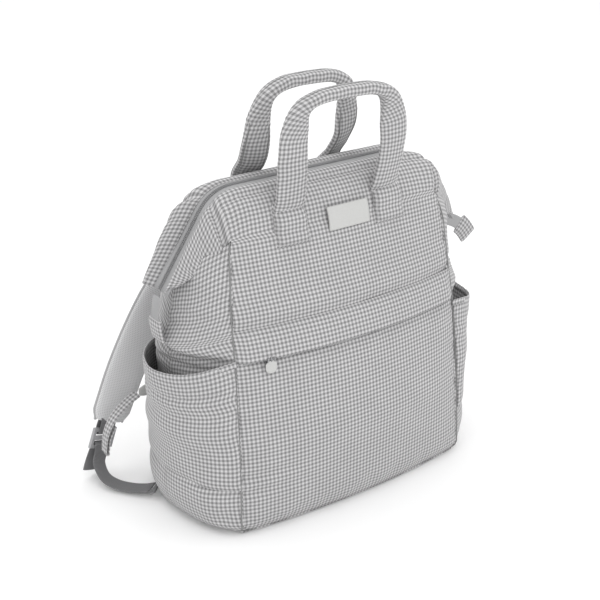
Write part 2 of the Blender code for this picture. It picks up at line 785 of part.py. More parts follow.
# ---------------------------------------------------------------- shoulder straps
STRAP_ROUTE = (             # left strap's centre line, from its anchor to its lock
    (-0.078, 0.0838, 0.240), (-0.078, 0.0905, 0.243), (-0.084, 0.0990, 0.243),
    (-0.097, 0.1060, 0.234), (-0.112, 0.1105, 0.218), (-0.128, 0.1135, 0.198),
    (-0.151, 0.1150, 0.162), (-0.172, 0.1160, 0.123), (-0.188, 0.1160, 0.088),
    (-0.199, 0.1155, 0.064),
)
LOCK_CENTRE = Vector((-0.2080, 0.1145, 0.0460))
LOCK_DOWN = Vector((-0.36, -0.03, -0.93)).normalized()
LOCK_ACROSS = Vector((0.90, 0.25, -0.355)).normalized()
WEB_ROUTE = (               # lower webbing, from the lock's bar to the body tab
    (-0.2190, 0.1050, 0.0210), (-0.2190, 0.0930, 0.0095), (-0.2130, 0.0790, 0.0045),
    (-0.2030, 0.0650, 0.0035), (-0.1930, 0.0530, 0.0050), (-0.1850, 0.0440, 0.0085),
)
WEB_TAB = (-0.1810, 0.0395, 0.0105)


def mirrored(points, sign):
    return [Vector((p[0] * sign, p[1], p[2])) for p in points]


def build_strap(word, sign):
    path = smooth_path(mirrored(STRAP_ROUTE, sign), 2)

    def across(i, t):
        return Vector((sign, 0.0, -0.5 * min(t * 2.5, 1.0)))

    pad = strap(f"shoulder_strap_{word}", path, across, lambda t: 0.029 - 0.006 * t,
                lambda t: 0.0050, "mesh", sides=10)
    down = Vector((LOCK_DOWN.x * sign, LOCK_DOWN.y, LOCK_DOWN.z))
    wide = Vector((LOCK_ACROSS.x * sign, LOCK_ACROSS.y, LOCK_ACROSS.z))
    wide = (wide - down * wide.dot(down)).normalized()
    out = wide.cross(down).normalized()
    if out.y < 0:
        out = -out
    centre = Vector((LOCK_CENTRE.x * sign, LOCK_CENTRE.y, LOCK_CENTRE.z))
    frame = Matrix((wide, down, wide.cross(down))).transposed().to_euler()
    lock = box(f"ladder_lock_{word}", (0.0340, 0.0240, 0.0035), centre, "plastic", frame)
    for k, shift in enumerate((-0.0050, 0.0050)):
        slot = box(f"ladder_lock_{word}_slot_{k}", (0.0270, 0.0056, 0.0120), centre + down * shift,
                   None, frame, collection=CUTTERS)
        boolean(lock, slot, "DIFFERENCE")

    def along_lock(a, b):
        return centre + down * a + out * b

    hook = [along_lock(-0.0180, 0.0030), along_lock(-0.0125, 0.0031), along_lock(-0.0065, 0.0027),
            along_lock(-0.0048, 0.0), along_lock(-0.0065, -0.0027), along_lock(-0.0125, -0.0031),
            along_lock(-0.0180, -0.0030)]
    loop = strap(f"lock_loop_{word}", smooth_path(hook, 2), lambda i, t: wide,
                 lambda t: 0.0120, lambda t: 0.0006, "webbing")
    tail = [along_lock(0.0420, 0.0050), along_lock(0.0280, 0.0050), along_lock(0.0140, 0.0036),
            along_lock(0.0068, 0.0031)]
    turn = [along_lock(0.0045, 0.0)]
    main = [along_lock(0.0068, -0.0031), along_lock(0.0140, -0.0036)]
    route = tail + turn + main + mirrored(WEB_ROUTE, sign)
    flat = Vector((sign * 0.72, 0.69, 0.0))

    def web_side(i, t):
        share = min(max((t - 0.45) / 0.25, 0.0), 1.0)
        return wide.lerp(flat, share)

    web = strap(f"webbing_{word}", smooth_path(route, 3), web_side, lambda t: WEB_HALF_WIDTH,
                lambda t: WEB_HALF_THICK, "webbing")
    tab_end = Vector((WEB_TAB[0] * sign, WEB_TAB[1], WEB_TAB[2]))
    last = Vector((WEB_ROUTE[-1][0] * sign, WEB_ROUTE[-1][1], WEB_ROUTE[-1][2]))
    direction = (tab_end - last).normalized()
    tab_path = [last + direction * 0.0030, tab_end + direction * 0.0010]
    strap(f"lower_strap_tab_{word}", tab_path, lambda i, t: flat,
          lambda t: 0.0140, lambda t: 0.0012, "webbing")
    hang_on_pivot(f"shoulder_strap_{word}_pivot", tab_end, [pad, lock, loop, web])


def build_straps():
    for word, sign in (("left", 1), ("right", -1)):
        build_strap(word, sign)
    skins = []
    for proud in (0.0028, GAP):
        grid = []
        for z in (0.2275, 0.2500):
            xs = [0.105 * (2 * c / 12 - 1) for c in range(13)]
            grid.append([(x, face_y(x, z) + proud, z) for x in xs])
        skins.append(grid)
    slab("strap_anchor_patch", skins[0], skins[1], "gingham")


def build_stroller_straps():
    """Ribbon loops at the rear of the sides, each joined to the seam by a leather tab."""
    for word, sign in (("left", -1), ("right", 1)):
        root = Vector((sign * 0.1725, 0.0880, 0.1040))
        strap(f"stroller_tab_{word}", [Vector((sign * 0.1530, 0.0872, 0.1060)), root],
              lambda i, t: (0, 0, 1), lambda t: 0.0068, lambda t: 0.0010, "leather")
        start = root + Vector((sign * 0.0018, 0.0, -0.0006))
        route = [start, start + Vector((sign * 0.014, -0.001, -0.006)),
                 start + Vector((sign * 0.032, -0.003, -0.018)),
                 start + Vector((sign * 0.043, -0.004, -0.034)),
                 start + Vector((sign * 0.0475, -0.005, -0.056))]
        ribbon = strap(f"stroller_strap_{word}", smooth_path(route, 3),
                       lambda i, t: (0.1, 0.95, 0.2), lambda t: 0.0070, lambda t: 0.0026,
                       "gingham")
        hang_on_pivot(f"stroller_strap_{word}_pivot", start, [ribbon])


def build():
    build_base()
    build_walls()
    build_lining()
    build_inner_pocket()
    build_back_pad()
    build_front_zip()
    build_front_slider()
    build_mouth_half(-1, "front")
    build_mouth_half(1, "rear")
    build_main_slider()
    build_end_tabs()
    build_side_pockets()
    build_handles()
    build_straps()
    build_stroller_straps()


build()
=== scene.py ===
"""Looks for the diaper backpack: gingham cloth shells, padding, zips, straps and studio light."""
import math

import bmesh
import bpy
import numpy as np
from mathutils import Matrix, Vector, noise


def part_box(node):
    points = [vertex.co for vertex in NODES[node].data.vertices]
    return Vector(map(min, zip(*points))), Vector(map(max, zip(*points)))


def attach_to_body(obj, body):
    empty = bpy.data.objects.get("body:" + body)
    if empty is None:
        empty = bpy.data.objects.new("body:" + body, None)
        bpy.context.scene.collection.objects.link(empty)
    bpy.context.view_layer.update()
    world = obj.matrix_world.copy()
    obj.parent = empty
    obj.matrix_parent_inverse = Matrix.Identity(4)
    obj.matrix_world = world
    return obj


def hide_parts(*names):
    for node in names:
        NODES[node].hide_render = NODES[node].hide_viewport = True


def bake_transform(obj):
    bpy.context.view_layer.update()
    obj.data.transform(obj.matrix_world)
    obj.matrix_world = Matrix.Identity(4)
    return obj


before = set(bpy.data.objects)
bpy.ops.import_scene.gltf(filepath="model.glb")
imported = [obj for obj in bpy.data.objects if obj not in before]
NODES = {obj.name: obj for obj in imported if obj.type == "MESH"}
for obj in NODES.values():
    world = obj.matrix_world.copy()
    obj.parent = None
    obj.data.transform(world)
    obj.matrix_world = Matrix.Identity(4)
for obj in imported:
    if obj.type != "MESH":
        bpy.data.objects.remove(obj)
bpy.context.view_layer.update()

# ---------------------------------------------------------------- dimensions, metres
CHECK = 0.0045              # repeat of the gingham
HALF_DEPTH = 0.0875
BASE_RADIUS = 0.016
FRONT_STATIONS = (          # height, half width at the seams, lean to the mid-plane, bulge
    (0.000, 0.1525, 0.0000, 0.011),
    (0.100, 0.1495, 0.0050, 0.018),
    (0.200, 0.1463, 0.0165, 0.017),
    (0.250, 0.1427, 0.0265, 0.0135),
    (0.300, 0.1348, 0.0395, 0.008),
    (0.350, 0.1228, 0.0550, 0.001),
)
GUSSET_PUFF = 0.029
PIVOT_Z = 0.252             # both halves of the mouth swing about this height
RIDGE_TOP = 0.357
RIDGE_CORNER_X = 0.125
RIDGE_END_X = 0.195
RIDGE_BEND = 0.026
ZIP_HEIGHT = 0.1982
POCKET_TOP = 0.1935
YOKE_FOOT = 0.2030
FLAP_EDGE_Y = 0.0093
CHANNEL = 0.020             # width of the sewn wire channel along the mouth
WALL_FOOT = 0.0045          # lower edge of the wall covers
WALL_CLOTH = 0.003
FLAP_FOOT_Z = 0.318         # where a mouth half meets the face below it
FLAP_END_X = 0.180          # foot of a mouth half at the zip's ends
FLAP_END_Z = 0.262
FLAP_PROUD = 0.0015         # a mouth half's foot stands this far off the face
SEAM_GAP = 0.0004
POCKET_FOOT = 0.058
CUFF = 0.0275               # depth of the side pockets' elastic cuff
ANCHOR_LOW = 0.300
ANCHOR_HIGH = 0.343
LINING_DEPTH = 0.0096
STITCH = 0.0030
STITCH_GAP = 0.0014
THREAD_RADIUS = 0.00022
TOOTH_PITCH = 0.0019
TOOTH_WIDTH = 0.0009
SETTLE_FRAMES = 20

# the two pullers: pin, way it hangs, way it faces
POCKET_PULL = (Vector((-0.111067, -0.084720, 0.1982)), (0, 0, -1), (-0.17217, -0.98507, 0))
MAIN_PULL = (Vector((0.18019, 0.0, 0.285393)), (0.5547, 0, -0.83205), (0.83205, 0, 0.5547))
HANDLE_LINES = {            # y at the foot, waist and top
    "front": (-0.0440, -0.0560, -0.0570),
    "rear": (0.0435, 0.0180, 0.0090),
}

CAMERA_PLACE = (-0.7246, -0.9899, 0.7516)
CAMERA_TURN = (65.94, 0.0, -35.65)      # degrees
CAMERA_LENS = 73.1
LIGHTS = (                  # name, place, size, power
    ("key", (-0.6, -2.0, 1.9), 1.6, 13.0),
    ("fill", (1.9, -1.2, 1.3), 1.8, 4.0),
    ("top", (0.0, 0.3, 2.6), 2.2, 12.0),
)


# ---------------------------------------------------------------- materials
class Nodes:
    """Short hand for building a node tree."""

    def __init__(self, name):
        self.material = bpy.data.materials.new(name)
        self.material.use_nodes = True
        self.tree = self.material.node_tree
        self.shader = self.tree.nodes["Principled BSDF"]

    def add(self, kind, **values):
        node = self.tree.nodes.new(kind)
        for key, value in values.items():
            setattr(node, key, value)
        return node

    def link(self, source, target):
        self.tree.links.new(source, target)

    def math(self, operation, a, b=None, c=None, clamp=False):
        node = self.add("ShaderNodeMath", operation=operation, use_clamp=clamp)
        for socket, value in zip(node.inputs, (a, b, c)):
            if value is None:
                continue
            if isinstance(value, (int, float)):
                socket.default_value = value
            else:
                self.link(value, socket)
        return node.outputs[0]

    def smooth(self, value, low, high, to_low=0.0, to_high=1.0):
        node = self.add("ShaderNodeMapRange", interpolation_type="SMOOTHSTEP")
        self.link(value, node.inputs[0])
        for socket, number in zip(node.inputs[1:5], (low, high, to_low, to_high)):
            socket.default_value = number
        return node.outputs[0]

    def noise(self, vector, scale, detail=3.0, roughness=0.5):
        node = self.add("ShaderNodeTexNoise")
        node.inputs["Scale"].default_value = scale
        node.inputs["Detail"].default_value = detail
        node.inputs["Roughness"].default_value = roughness
        self.link(vector, node.inputs["Vector"])
        return node.outputs["Fac"]

    def mix(self, factor, a, b, blend="MIX"):
        node = self.add("ShaderNodeMix", data_type="RGBA", blend_type=blend)
        for index, value in ((0, factor), (6, a), (7, b)):
            if isinstance(value, (int, float)):
                node.inputs[index].default_value = value
            elif isinstance(value, tuple):
                node.inputs[index].default_value = (*value, 1.0)
            else:
                self.link(value, node.inputs[index])
        return node.outputs[2]

    def bump(self, height, distance, strength=1.0, below=None):
        node = self.add("ShaderNodeBump")
        node.inputs["Distance"].default_value = distance
        node.inputs["Strength"].default_value = strength
        self.link(height, node.inputs["Height"])
        if below:
            self.link(below, node.inputs["Normal"])
        self.link(node.outputs[0], self.shader.inputs["Normal"])
        return node.outputs[0]

    def split_uv(self):
        uv = self.add("ShaderNodeUVMap", uv_map="cloth")
        parts = self.add("ShaderNodeSeparateXYZ")
        self.link(uv.outputs[0], parts.inputs[0])
        return uv.outputs[0], parts.outputs[0], parts.outputs[1]

    def put(self, socket, value):
        """Link or set one of the shader's own sockets."""
        if isinstance(value, bpy.types.NodeSocket):
            self.link(value, self.shader.inputs[socket])
        else:
            self.shader.inputs[socket].default_value = value

    def mottle(self, colour, tone):
        """Colour darkened by an even grey tone."""
        grey = self.mix(tone, (0.0, 0.0, 0.0), (1.0, 1.0, 1.0))
        return self.mix(1.0, colour, grey, "MULTIPLY")

    def position(self):
        return self.add("ShaderNodeTexCoord").outputs["Object"]

    def wave(self, value, repeat):
        """0 to 1 and back, once each repeat."""
        turned = self.math("MULTIPLY", value, 2 * math.pi / repeat)
        return self.math("MULTIPLY_ADD", self.math("SINE", turned), 0.5, 0.5)


def yarn_relief(nodes, u, v, repeat):
    """Height of a plain weave: each yarn is high where it crosses over the other."""
    across = nodes.wave(u, repeat)
    along = nodes.wave(v, repeat)
    return nodes.math("ADD", nodes.math("MULTIPLY", across, along),
                      nodes.math("MULTIPLY", nodes.math("SUBTRACT", 1.0, across),
                                 nodes.math("SUBTRACT", 1.0, along)))


def gingham(name, light=(0.575, 0.570, 0.575), dark=(0.200, 0.198, 0.201)):
    nodes = Nodes(name)
    vector, u, v = nodes.split_uv()
    stripes = []
    for value in (u, v):
        turn = nodes.math("FRACT", nodes.math("DIVIDE", value, CHECK))
        centred = nodes.math("ABSOLUTE", nodes.math("SUBTRACT", turn, 0.5))
        stripes.append(nodes.smooth(centred, 0.205, 0.295, 1.0, 0.0))
    share = nodes.math("MULTIPLY", nodes.math("ADD", *stripes), 0.5)
    wear = nodes.noise(nodes.position(), 38.0, 4.0)
    yarn = nodes.noise(vector, 2600.0, 2.0)
    share = nodes.math("ADD", share, nodes.math("MULTIPLY_ADD", yarn, 0.10, -0.05), clamp=True)
    middle = tuple(0.5 * (a + b) * 0.93 for a, b in zip(light, dark))
    half = nodes.math("MULTIPLY", share, 2.0, clamp=True)
    rest = nodes.math("MULTIPLY_ADD", share, 2.0, -1.0, clamp=True)
    colour = nodes.mix(rest, nodes.mix(half, light, middle), dark)
    tone = nodes.smooth(wear, 0.3, 0.7, 0.955, 1.0)
    nodes.put("Base Color", nodes.mottle(colour, tone))
    nodes.put("Roughness", nodes.smooth(wear, 0.3, 0.7, 0.80, 0.92))
    nodes.put("Sheen Weight", 0.15)
    nodes.put("Sheen Roughness", 0.5)
    nodes.put("Specular IOR Level", 0.25)
    weave = nodes.bump(yarn_relief(nodes, u, v, 0.00064), 0.00004, 0.5)
    nodes.bump(nodes.noise(nodes.position(), 160.0, 3.0), 0.0006, 0.35, weave)
    return nodes.material


def woven(name, colour, repeat, depth, contrast=0.82, ribs=False):
    """Plain cloth, tape or webbing with its weave in the cloth's own directions."""
    nodes = Nodes(name)
    _, u, v = nodes.split_uv()
    relief = nodes.wave(v, repeat) if ribs else yarn_relief(nodes, u, v, repeat)
    blotch = nodes.noise(nodes.position(), 60.0, 4.0)
    # colour darkened where the yarns lie low: painted shade in the weave's hollows
    dark = tuple(c * contrast for c in colour)
    shade = nodes.mix(nodes.smooth(relief, 0.1, 0.9), dark, colour)
    tone = nodes.smooth(blotch, 0.3, 0.7, 0.93, 1.0)
    nodes.put("Base Color", nodes.mottle(shade, tone))
    nodes.put("Roughness", nodes.smooth(blotch, 0.3, 0.7, 0.74, 0.86))
    nodes.put("Specular IOR Level", 0.3)
    nodes.bump(relief, depth, 0.7)
    return nodes.material


def air_mesh(name):
    """Spacer mesh: rows of small round holes, every other row shifted by half a hole."""
    nodes = Nodes(name)
    _, u, v = nodes.split_uv()
    pitch = 0.0022
    row_pitch = pitch * 0.87
    row = nodes.math("FLOOR", nodes.math("DIVIDE", v, row_pitch))
    shift = nodes.math("MULTIPLY", nodes.math("MODULO", row, 2.0), 0.5)
    shifted = nodes.math("ADD", nodes.math("DIVIDE", u, pitch), shift)
    a = nodes.math("SUBTRACT", nodes.math("FRACT", shifted), 0.5)
    b = nodes.math("SUBTRACT", nodes.math("FRACT", nodes.math("DIVIDE", v, row_pitch)), 0.5)
    reach = nodes.math("SQRT", nodes.math("ADD", nodes.math("MULTIPLY", a, a),
                                          nodes.math("MULTIPLY", b, b)))
    cloth = nodes.smooth(reach, 0.20, 0.36)
    # the holes take the darker grey: painted shade down inside the holes
    nodes.put("Base Color", nodes.mix(cloth, (0.44, 0.44, 0.445), (0.66, 0.66, 0.665)))
    nodes.put("Roughness", nodes.smooth(cloth, 0.0, 1.0, 0.95, 0.8))
    nodes.put("Sheen Weight", 0.2)
    nodes.bump(cloth, 0.0002, 0.5)
    return nodes.material


def grained(name, colour, roughness, scale, depth, metallic=0.0, contrast=0.9, coat=0.0):
    """Leather grain, moulded plastic or cast metal, by the size and depth of its grain."""
    nodes = Nodes(name)
    place = nodes.position()
    cell = nodes.add("ShaderNodeTexVoronoi", feature="DISTANCE_TO_EDGE")
    cell.inputs["Scale"].default_value = scale
    nodes.link(place, cell.inputs["Vector"])
    fine = nodes.noise(place, scale * 0.6, 4.0)
    grain = nodes.math("MULTIPLY", nodes.smooth(cell.outputs["Distance"], 0.0, 0.25), fine)
    dark = tuple(c * contrast for c in colour)
    nodes.put("Base Color", nodes.mix(nodes.smooth(grain, 0.1, 0.6), dark, colour))
    nodes.put("Roughness", nodes.smooth(fine, 0.3, 0.7, roughness - 0.07, roughness + 0.07))
    nodes.put("Metallic", metallic)
    nodes.put("Coat Weight", coat)
    nodes.bump(grain, depth, 0.6)
    return nodes.material


GINGHAM = gingham("gingham_cloth")
LINING = woven("lining_cloth", (0.60, 0.60, 0.61), 0.0006, 0.00003)
TAPE = woven("zip_tape", (0.40, 0.40, 0.405), 0.0009, 0.00008)
WEBBING = woven("webbing_weave", (0.225, 0.225, 0.23), 0.0014, 0.00025, contrast=0.7, ribs=True)
BINDING = woven("edge_binding", (0.44, 0.44, 0.445), 0.0011, 0.0001, ribs=True)
ELASTIC = woven("elastic_knit", (0.55, 0.55, 0.55), 0.0012, 0.00015, ribs=True)
THREAD = woven("sewing_thread", (0.50, 0.50, 0.505), 0.0004, 0.00003)
SEAM_SHADE = woven("seam_shadow", (0.26, 0.26, 0.26), 0.0006, 0.00003)
MESH = air_mesh("air_mesh")
LEATHER = grained("pale_leather", (0.53, 0.53, 0.52), 0.55, 900.0, 0.00008, contrast=0.93)
PLASTIC = grained("moulded_plastic", (0.36, 0.36, 0.37), 0.42, 1500.0, 0.00003)
ZINC = grained("lacquered_zinc", (0.33, 0.33, 0.34), 0.38, 1200.0, 0.00002, metallic=0.6, coat=0.3)
TEETH = grained("nylon_teeth", (0.27, 0.27, 0.275), 0.45, 2000.0, 0.00002)
STEEL = grained("spring_steel", (0.60, 0.60, 0.60), 0.32, 800.0, 0.00001, metallic=1.0)
BOARD = grained("stiff_board", (0.20, 0.20, 0.20), 0.6, 400.0, 0.00005)


# ---------------------------------------------------------------- body skin
def station(z, column):
    heights = [row[0] for row in FRONT_STATIONS]
    values = [row[column] for row in FRONT_STATIONS]
    return float(np.interp(z, heights, values))


def foot_inset(z):
    if z >= BASE_RADIUS:
        return 0.0
    rise = BASE_RADIUS - z
    return BASE_RADIUS - math.sqrt(max(BASE_RADIUS ** 2 - rise ** 2, 0.0))


def half_width(z):
    return station(z, 1) - foot_inset(z)


def seam_y(z):
    return HALF_DEPTH - station(z, 2) - foot_inset(z)


def face_y(x, z):
    share = min(abs(x) / half_width(z), 1.0)
    return seam_y(z) + station(z, 3) * (1 - share ** 2)


def gusset_x(v, z):
    return half_width(z) + GUSSET_PUFF * (1 - v * v)


def side_skin(v, z):
    """Side of the body with the fuller lower end that the padding gives it."""
    lean = 1 + 0.25 * v
    low = bell(z, 0.040, 0.033)
    sides = max(1 - v ** 4, 0.0) ** 0.6
    return gusset_x(v, z) + (0.011 * lean + 0.0075 * bell(v, -0.78, 0.25)) * low * sides


def corner_out(z, side, sign):
    """The front edge on the right stands out further than its mirror image near the top."""
    return 0.0075 * bell(z, 0.292, 0.032) if side < 0 < sign else 0.0


def ripple(point, size, seed):
    """Smooth repeatable noise, about -1 to 1."""
    return noise.noise(Vector(point) / size + Vector((seed, seed * 1.7, -seed)))


def bell(value, centre, width):
    return math.exp(-((value - centre) / width) ** 2)


# ---------------------------------------------------------------- mesh helpers
def in_scene(name, data):
    obj = bpy.data.objects.new(name, data)
    bpy.context.scene.collection.objects.link(obj)
    return obj


def new_object(name, verts, faces, material, uvs=None):
    """Smooth mesh with its cloth coordinates, one for each corner of each face."""
    mesh = bpy.data.meshes.new(name)
    mesh.from_pydata([tuple(v) for v in verts], [], faces)
    layer = mesh.uv_layers.new(name="cloth")
    if uvs:
        layer.data.foreach_set("uv", np.array(uvs, np.float32).ravel())
    mesh.materials.append(material)
    mesh.shade_smooth()
    return in_scene(name, mesh)


def subdivide(obj, levels=1, corners=False):
    smooth = obj.modifiers.new("smooth", "SUBSURF")
    smooth.levels = smooth.render_levels = levels
    if corners:
        smooth.boundary_smooth = "PRESERVE_CORNERS"


def thicken(obj, thickness):
    """Give a sheet its thickness, inward; returns the modifier."""
    cloth = obj.modifiers.new("thickness", "SOLIDIFY")
    cloth.thickness = thickness
    cloth.offset = -1.0
    return cloth


def point_grid(rows, cols, place, flip=False):
    """Rows of points place(t, u): t runs 0 to 1 up the rows, u -1 to 1 along each."""
    grid = [[place(r / rows, 2 * c / cols - 1) for c in range(cols + 1)] for r in range(rows + 1)]
    return [row[::-1] for row in grid] if flip else grid


def quads(rows, cols, count):
    """Faces of a grid of points that has count points to a row."""
    return [(r * count + c, r * count + (c + 1) % count, (r + 1) * count + (c + 1) % count,
             (r + 1) * count + c) for r in range(rows) for c in range(cols)]


def grid_object(name, rows, uvs, material, closed=False, thickness=0.0, levels=1):
    """Sheet from a grid of points with its cloth coordinates; thickness goes inward.

    The grid's normal is row direction x column direction, and faces point along it.
    """
    count = len(rows[0])
    face_uvs = []
    columns = count if closed else count - 1
    for r in range(len(rows) - 1):
        for c in range(columns):
            d = (c + 1) % count
            low, high = uvs[r][c], uvs[r + 1][c]
            if d:
                low_next, high_next = uvs[r][d], uvs[r + 1][d]
            else:
                step = uvs[r][c][0] - uvs[r][c - 1][0]
                low_next = (low[0] + step, low[1])
                high_next = (high[0] + step, high[1])
            face_uvs += [low, low_next, high_next, high]
    obj = new_object(name, [p for row in rows for p in row],
                     quads(len(rows) - 1, columns, count), material, face_uvs)
    if levels:
        subdivide(obj, levels, corners=True)
    if thickness:
        thicken(obj, thickness)
    return obj


def arc_lengths(points):
    """Running length along a row of points."""
    total = [0.0]
    for a, b in zip(points, points[1:]):
        total.append(total[-1] + (Vector(b) - Vector(a)).length)
    return total


def point_at(path, run, s):
    """Point at a length along the path, and the number of the leg that it lies on."""
    k = min(max(int(np.searchsorted(run, s)) - 1, 0), len(path) - 2)
    share = (s - run[k]) / max(run[k + 1] - run[k], 1e-9)
    return Vector(path[k]).lerp(Vector(path[k + 1]), share), k


def sheet_uvs(rows):
    """Cloth coordinates of a grid: lengths along each row from its middle, and up the middle."""
    middle = len(rows[0]) // 2
    spine = arc_lengths([row[middle] for row in rows])
    result = []
    for row, height in zip(rows, spine):
        lengths = arc_lengths(row)
        result.append([(s - lengths[middle], height) for s in lengths])
    return result


def smooth_path(points, steps):
    """Catmull-Rom curve through the points."""
    pts = [Vector(p) for p in points]
    ends = [2 * pts[0] - pts[1]] + pts + [2 * pts[-1] - pts[-2]]
    path = []
    for i in range(1, len(ends) - 2):
        p0, p1, p2, p3 = ends[i - 1:i + 3]
        for k in range(steps):
            t = k / steps
            path.append(0.5 * (2 * p1 + (p2 - p0) * t + (2 * p0 - 5 * p1 + 4 * p2 - p3) * t * t
                               + (3 * p1 - p0 - 3 * p2 + p3) * t ** 3))
    path.append(pts[-1])
    return path


def tangents(path):
    return [(path[min(i + 1, len(path) - 1)] - path[max(i - 1, 0)]).normalized()
            for i in range(len(path))]


def band(name, path, side, half_width_at, half_thick_at, material, sides=16, power=0.7,
         levels=1, swell=None):
    """Closed padded band along a path, with rounded edges and domed ends.

    side(i, t) is the width direction; power below 1 squares the section off.
    """
    rings = []
    uvs = []
    last = len(path) - 1
    run = arc_lengths(path)
    for i, (point, along) in enumerate(zip(path, tangents(path))):
        t = i / last
        across = Vector(side(i, t))
        across = (across - along * across.dot(along)).normalized()
        normal = along.cross(across)
        wide, thick = half_width_at(t), half_thick_at(t)
        ring = []
        for k in range(sides):
            angle = 2 * math.pi * (k + 0.5) / sides
            c, s = math.cos(angle), math.sin(angle)
            u = math.copysign(abs(c) ** power, c) * wide
            v = math.copysign(abs(s) ** power, s) * thick
            place = point + across * u + normal * v
            if swell:
                place += swell(place, t, u / wide, v / thick, across, normal)
            ring.append(place)
        rings.append(ring)
        around = arc_lengths(ring)
        uvs.append([(a, run[i]) for a in around])
    for place, end, direction in ((0, 0, 1), (len(rings) + 1, -1, -1)):
        ring, coords = rings[end], uvs[end]
        centre = sum(ring, Vector()) / sides
        rings.insert(place, [centre + (p - centre) * 0.02 for p in ring])
        uvs.insert(place, [(a * 0.02 + 0.01, coords[0][1] - direction * 0.004) for a, _ in coords])
    obj = grid_object(name, rings, uvs, material, closed=True, levels=0)
    close_rings(obj.data, sides, (0, len(rings) - 1))
    outward(obj.data)
    if levels:
        subdivide(obj, levels)
    return obj


def close_rings(mesh, sides, numbers, lay_cloth=False):
    """Close the numbered rings of a tube with one face each, its cloth laid flat if asked."""
    bm = bmesh.new()
    bm.from_mesh(mesh)
    bm.verts.ensure_lookup_table()
    layer = bm.loops.layers.uv["cloth"]
    for number in numbers:
        face = bm.faces.new([bm.verts[number * sides + k] for k in range(sides)])
        for loop in face.loops if lay_cloth else ():
            loop[layer].uv = (loop.vert.co.x, loop.vert.co.y)
    bm.to_mesh(mesh)
    bm.free()


def outward(mesh):
    bm = bmesh.new()
    bm.from_mesh(mesh)
    bmesh.ops.recalc_face_normals(bm, faces=bm.faces)
    bm.to_mesh(mesh)
    bm.free()
    mesh.shade_smooth()


def attach(obj, body, slot, *nodes):
    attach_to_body(obj, body)
    if nodes:
        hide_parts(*nodes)
    return obj


def follow_face(obj, slot, side, *nodes):
    """Hide the named CAD nodes and bake the object's place into its mesh."""
    if nodes:
        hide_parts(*nodes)
    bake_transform(obj)
    return obj


def stitches(name, path, out, body, length=STITCH):
    """Row of short thread stitches along a path, standing a hair proud along out(point)."""
    run = arc_lengths(path)
    total = run[-1]
    count = max(int(total / (length + STITCH_GAP)), 1)
    verts, faces = [], []
    for n in range(count):
        start = n * total / count
        a, b = (point_at(path, run, s)[0] for s in (start, min(start + length, total)))
        along = (b - a).normalized()
        up = Vector(out((a + b) / 2)).normalized()
        side = along.cross(up).normalized()
        base = len(verts)
        for share, swell, lift in ((0.0, 0.35, 0.0), (0.3, 1.0, 0.7), (0.7, 1.0, 0.7),
                                   (1.0, 0.35, 0.0)):
            centre = a.lerp(b, share) + up * THREAD_RADIUS * lift
            for k in range(6):
                angle = 2 * math.pi * k / 6
                spoke = side * math.cos(angle) + up * math.sin(angle)
                verts.append(centre + spoke * THREAD_RADIUS * swell)
        faces += [tuple(base + i for i in face) for face in quads(3, 6, 6)]
        faces.append(tuple(base + k for k in range(5, -1, -1)))
        faces.append(tuple(base + 18 + k for k in range(6)))
    obj = new_object(name, verts, faces, THREAD)
    outward(obj.data)
    if body:
        attach(obj, body, "gingham")
    return obj


def tube(name, path, radius, material, body, slot):
    curve = bpy.data.curves.new(name, "CURVE")
    curve.dimensions = "3D"
    curve.bevel_depth = radius
    curve.bevel_resolution = 2
    curve.use_fill_caps = True
    spline = curve.splines.new("POLY")
    spline.points.add(len(path) - 1)
    for target, point in zip(spline.points, path):
        target.co = (*point, 1.0)
    curve.materials.append(material)
    attach(in_scene(name, curve), body, slot)


# ---------------------------------------------------------------- cloth simulation
def puff(obj, pressure, cap, pinned):
    """Inflate a sheet between its pinned edges with a short cloth simulation, then keep it."""
    mesh = obj.data
    group = obj.vertex_groups.new(name="pin")
    group.add([v.index for v in mesh.vertices if pinned(v.co)], 1.0, "REPLACE")
    before = np.array([v.co for v in mesh.vertices], float).reshape(-1, 3)
    kept = [(m.name, m.show_viewport) for m in obj.modifiers]
    for modifier in obj.modifiers:
        modifier.show_viewport = False
    cloth = obj.modifiers.new("cloth", "CLOTH")
    settings = cloth.settings
    settings.quality = 6
    settings.mass = 0.15
    settings.tension_stiffness = settings.compression_stiffness = 12.0
    settings.bending_stiffness = 0.4
    settings.shrink_min = -0.012
    settings.use_pressure = True
    settings.uniform_pressure_force = pressure
    settings.vertex_group_mass = "pin"
    settings.effector_weights.gravity = 0.0
    cloth.collision_settings.use_collision = False
    scene = bpy.context.scene
    for step in range(1, SETTLE_FRAMES + 1):
        scene.frame_set(step)
    graph = bpy.context.evaluated_depsgraph_get()
    result = obj.evaluated_get(graph).to_mesh()
    after = np.array([v.co for v in result.vertices], float).reshape(-1, 3)
    obj.evaluated_get(graph).to_mesh_clear()
    obj.modifiers.remove(cloth)
    scene.frame_set(1)
    moved = after - before
    size = np.linalg.norm(moved, axis=1)
    scale = np.where(size > 1e-9, cap * np.tanh(size / cap) / np.maximum(size, 1e-9), 0.0)
    mesh.vertices.foreach_set("co", (before + moved * scale[:, None]).astype(np.float32).ravel())
    mesh.update()
    obj.vertex_groups.remove(group)
    for name, shown in kept:
        obj.modifiers[name].show_viewport = shown


# ---------------------------------------------------------------- body panels
def edge_pull(distance, depth, reach):
    """How far the padded cloth sinks near a seam."""
    return depth * math.exp(-max(distance, 0.0) / reach)


def face_grid(side, low, high, rows, cols, dress):
    """Grid over the front (side -1) or rear skin; dress(x, z) is added along the outward way."""
    grid = []
    for r in range(rows + 1):
        z = low + (high - low) * r / rows
        row = []
        for c in range(cols + 1):
            u = 2 * c / cols - 1
            u = u + 0.06 * math.sin(math.pi * u)
            x = u * (half_width(z) - SEAM_GAP)
            y = face_y(x, z) + dress(x, z)
            row.append(Vector((x, side * y, z)))
        grid.append(row if side < 0 else row[::-1])
    return grid


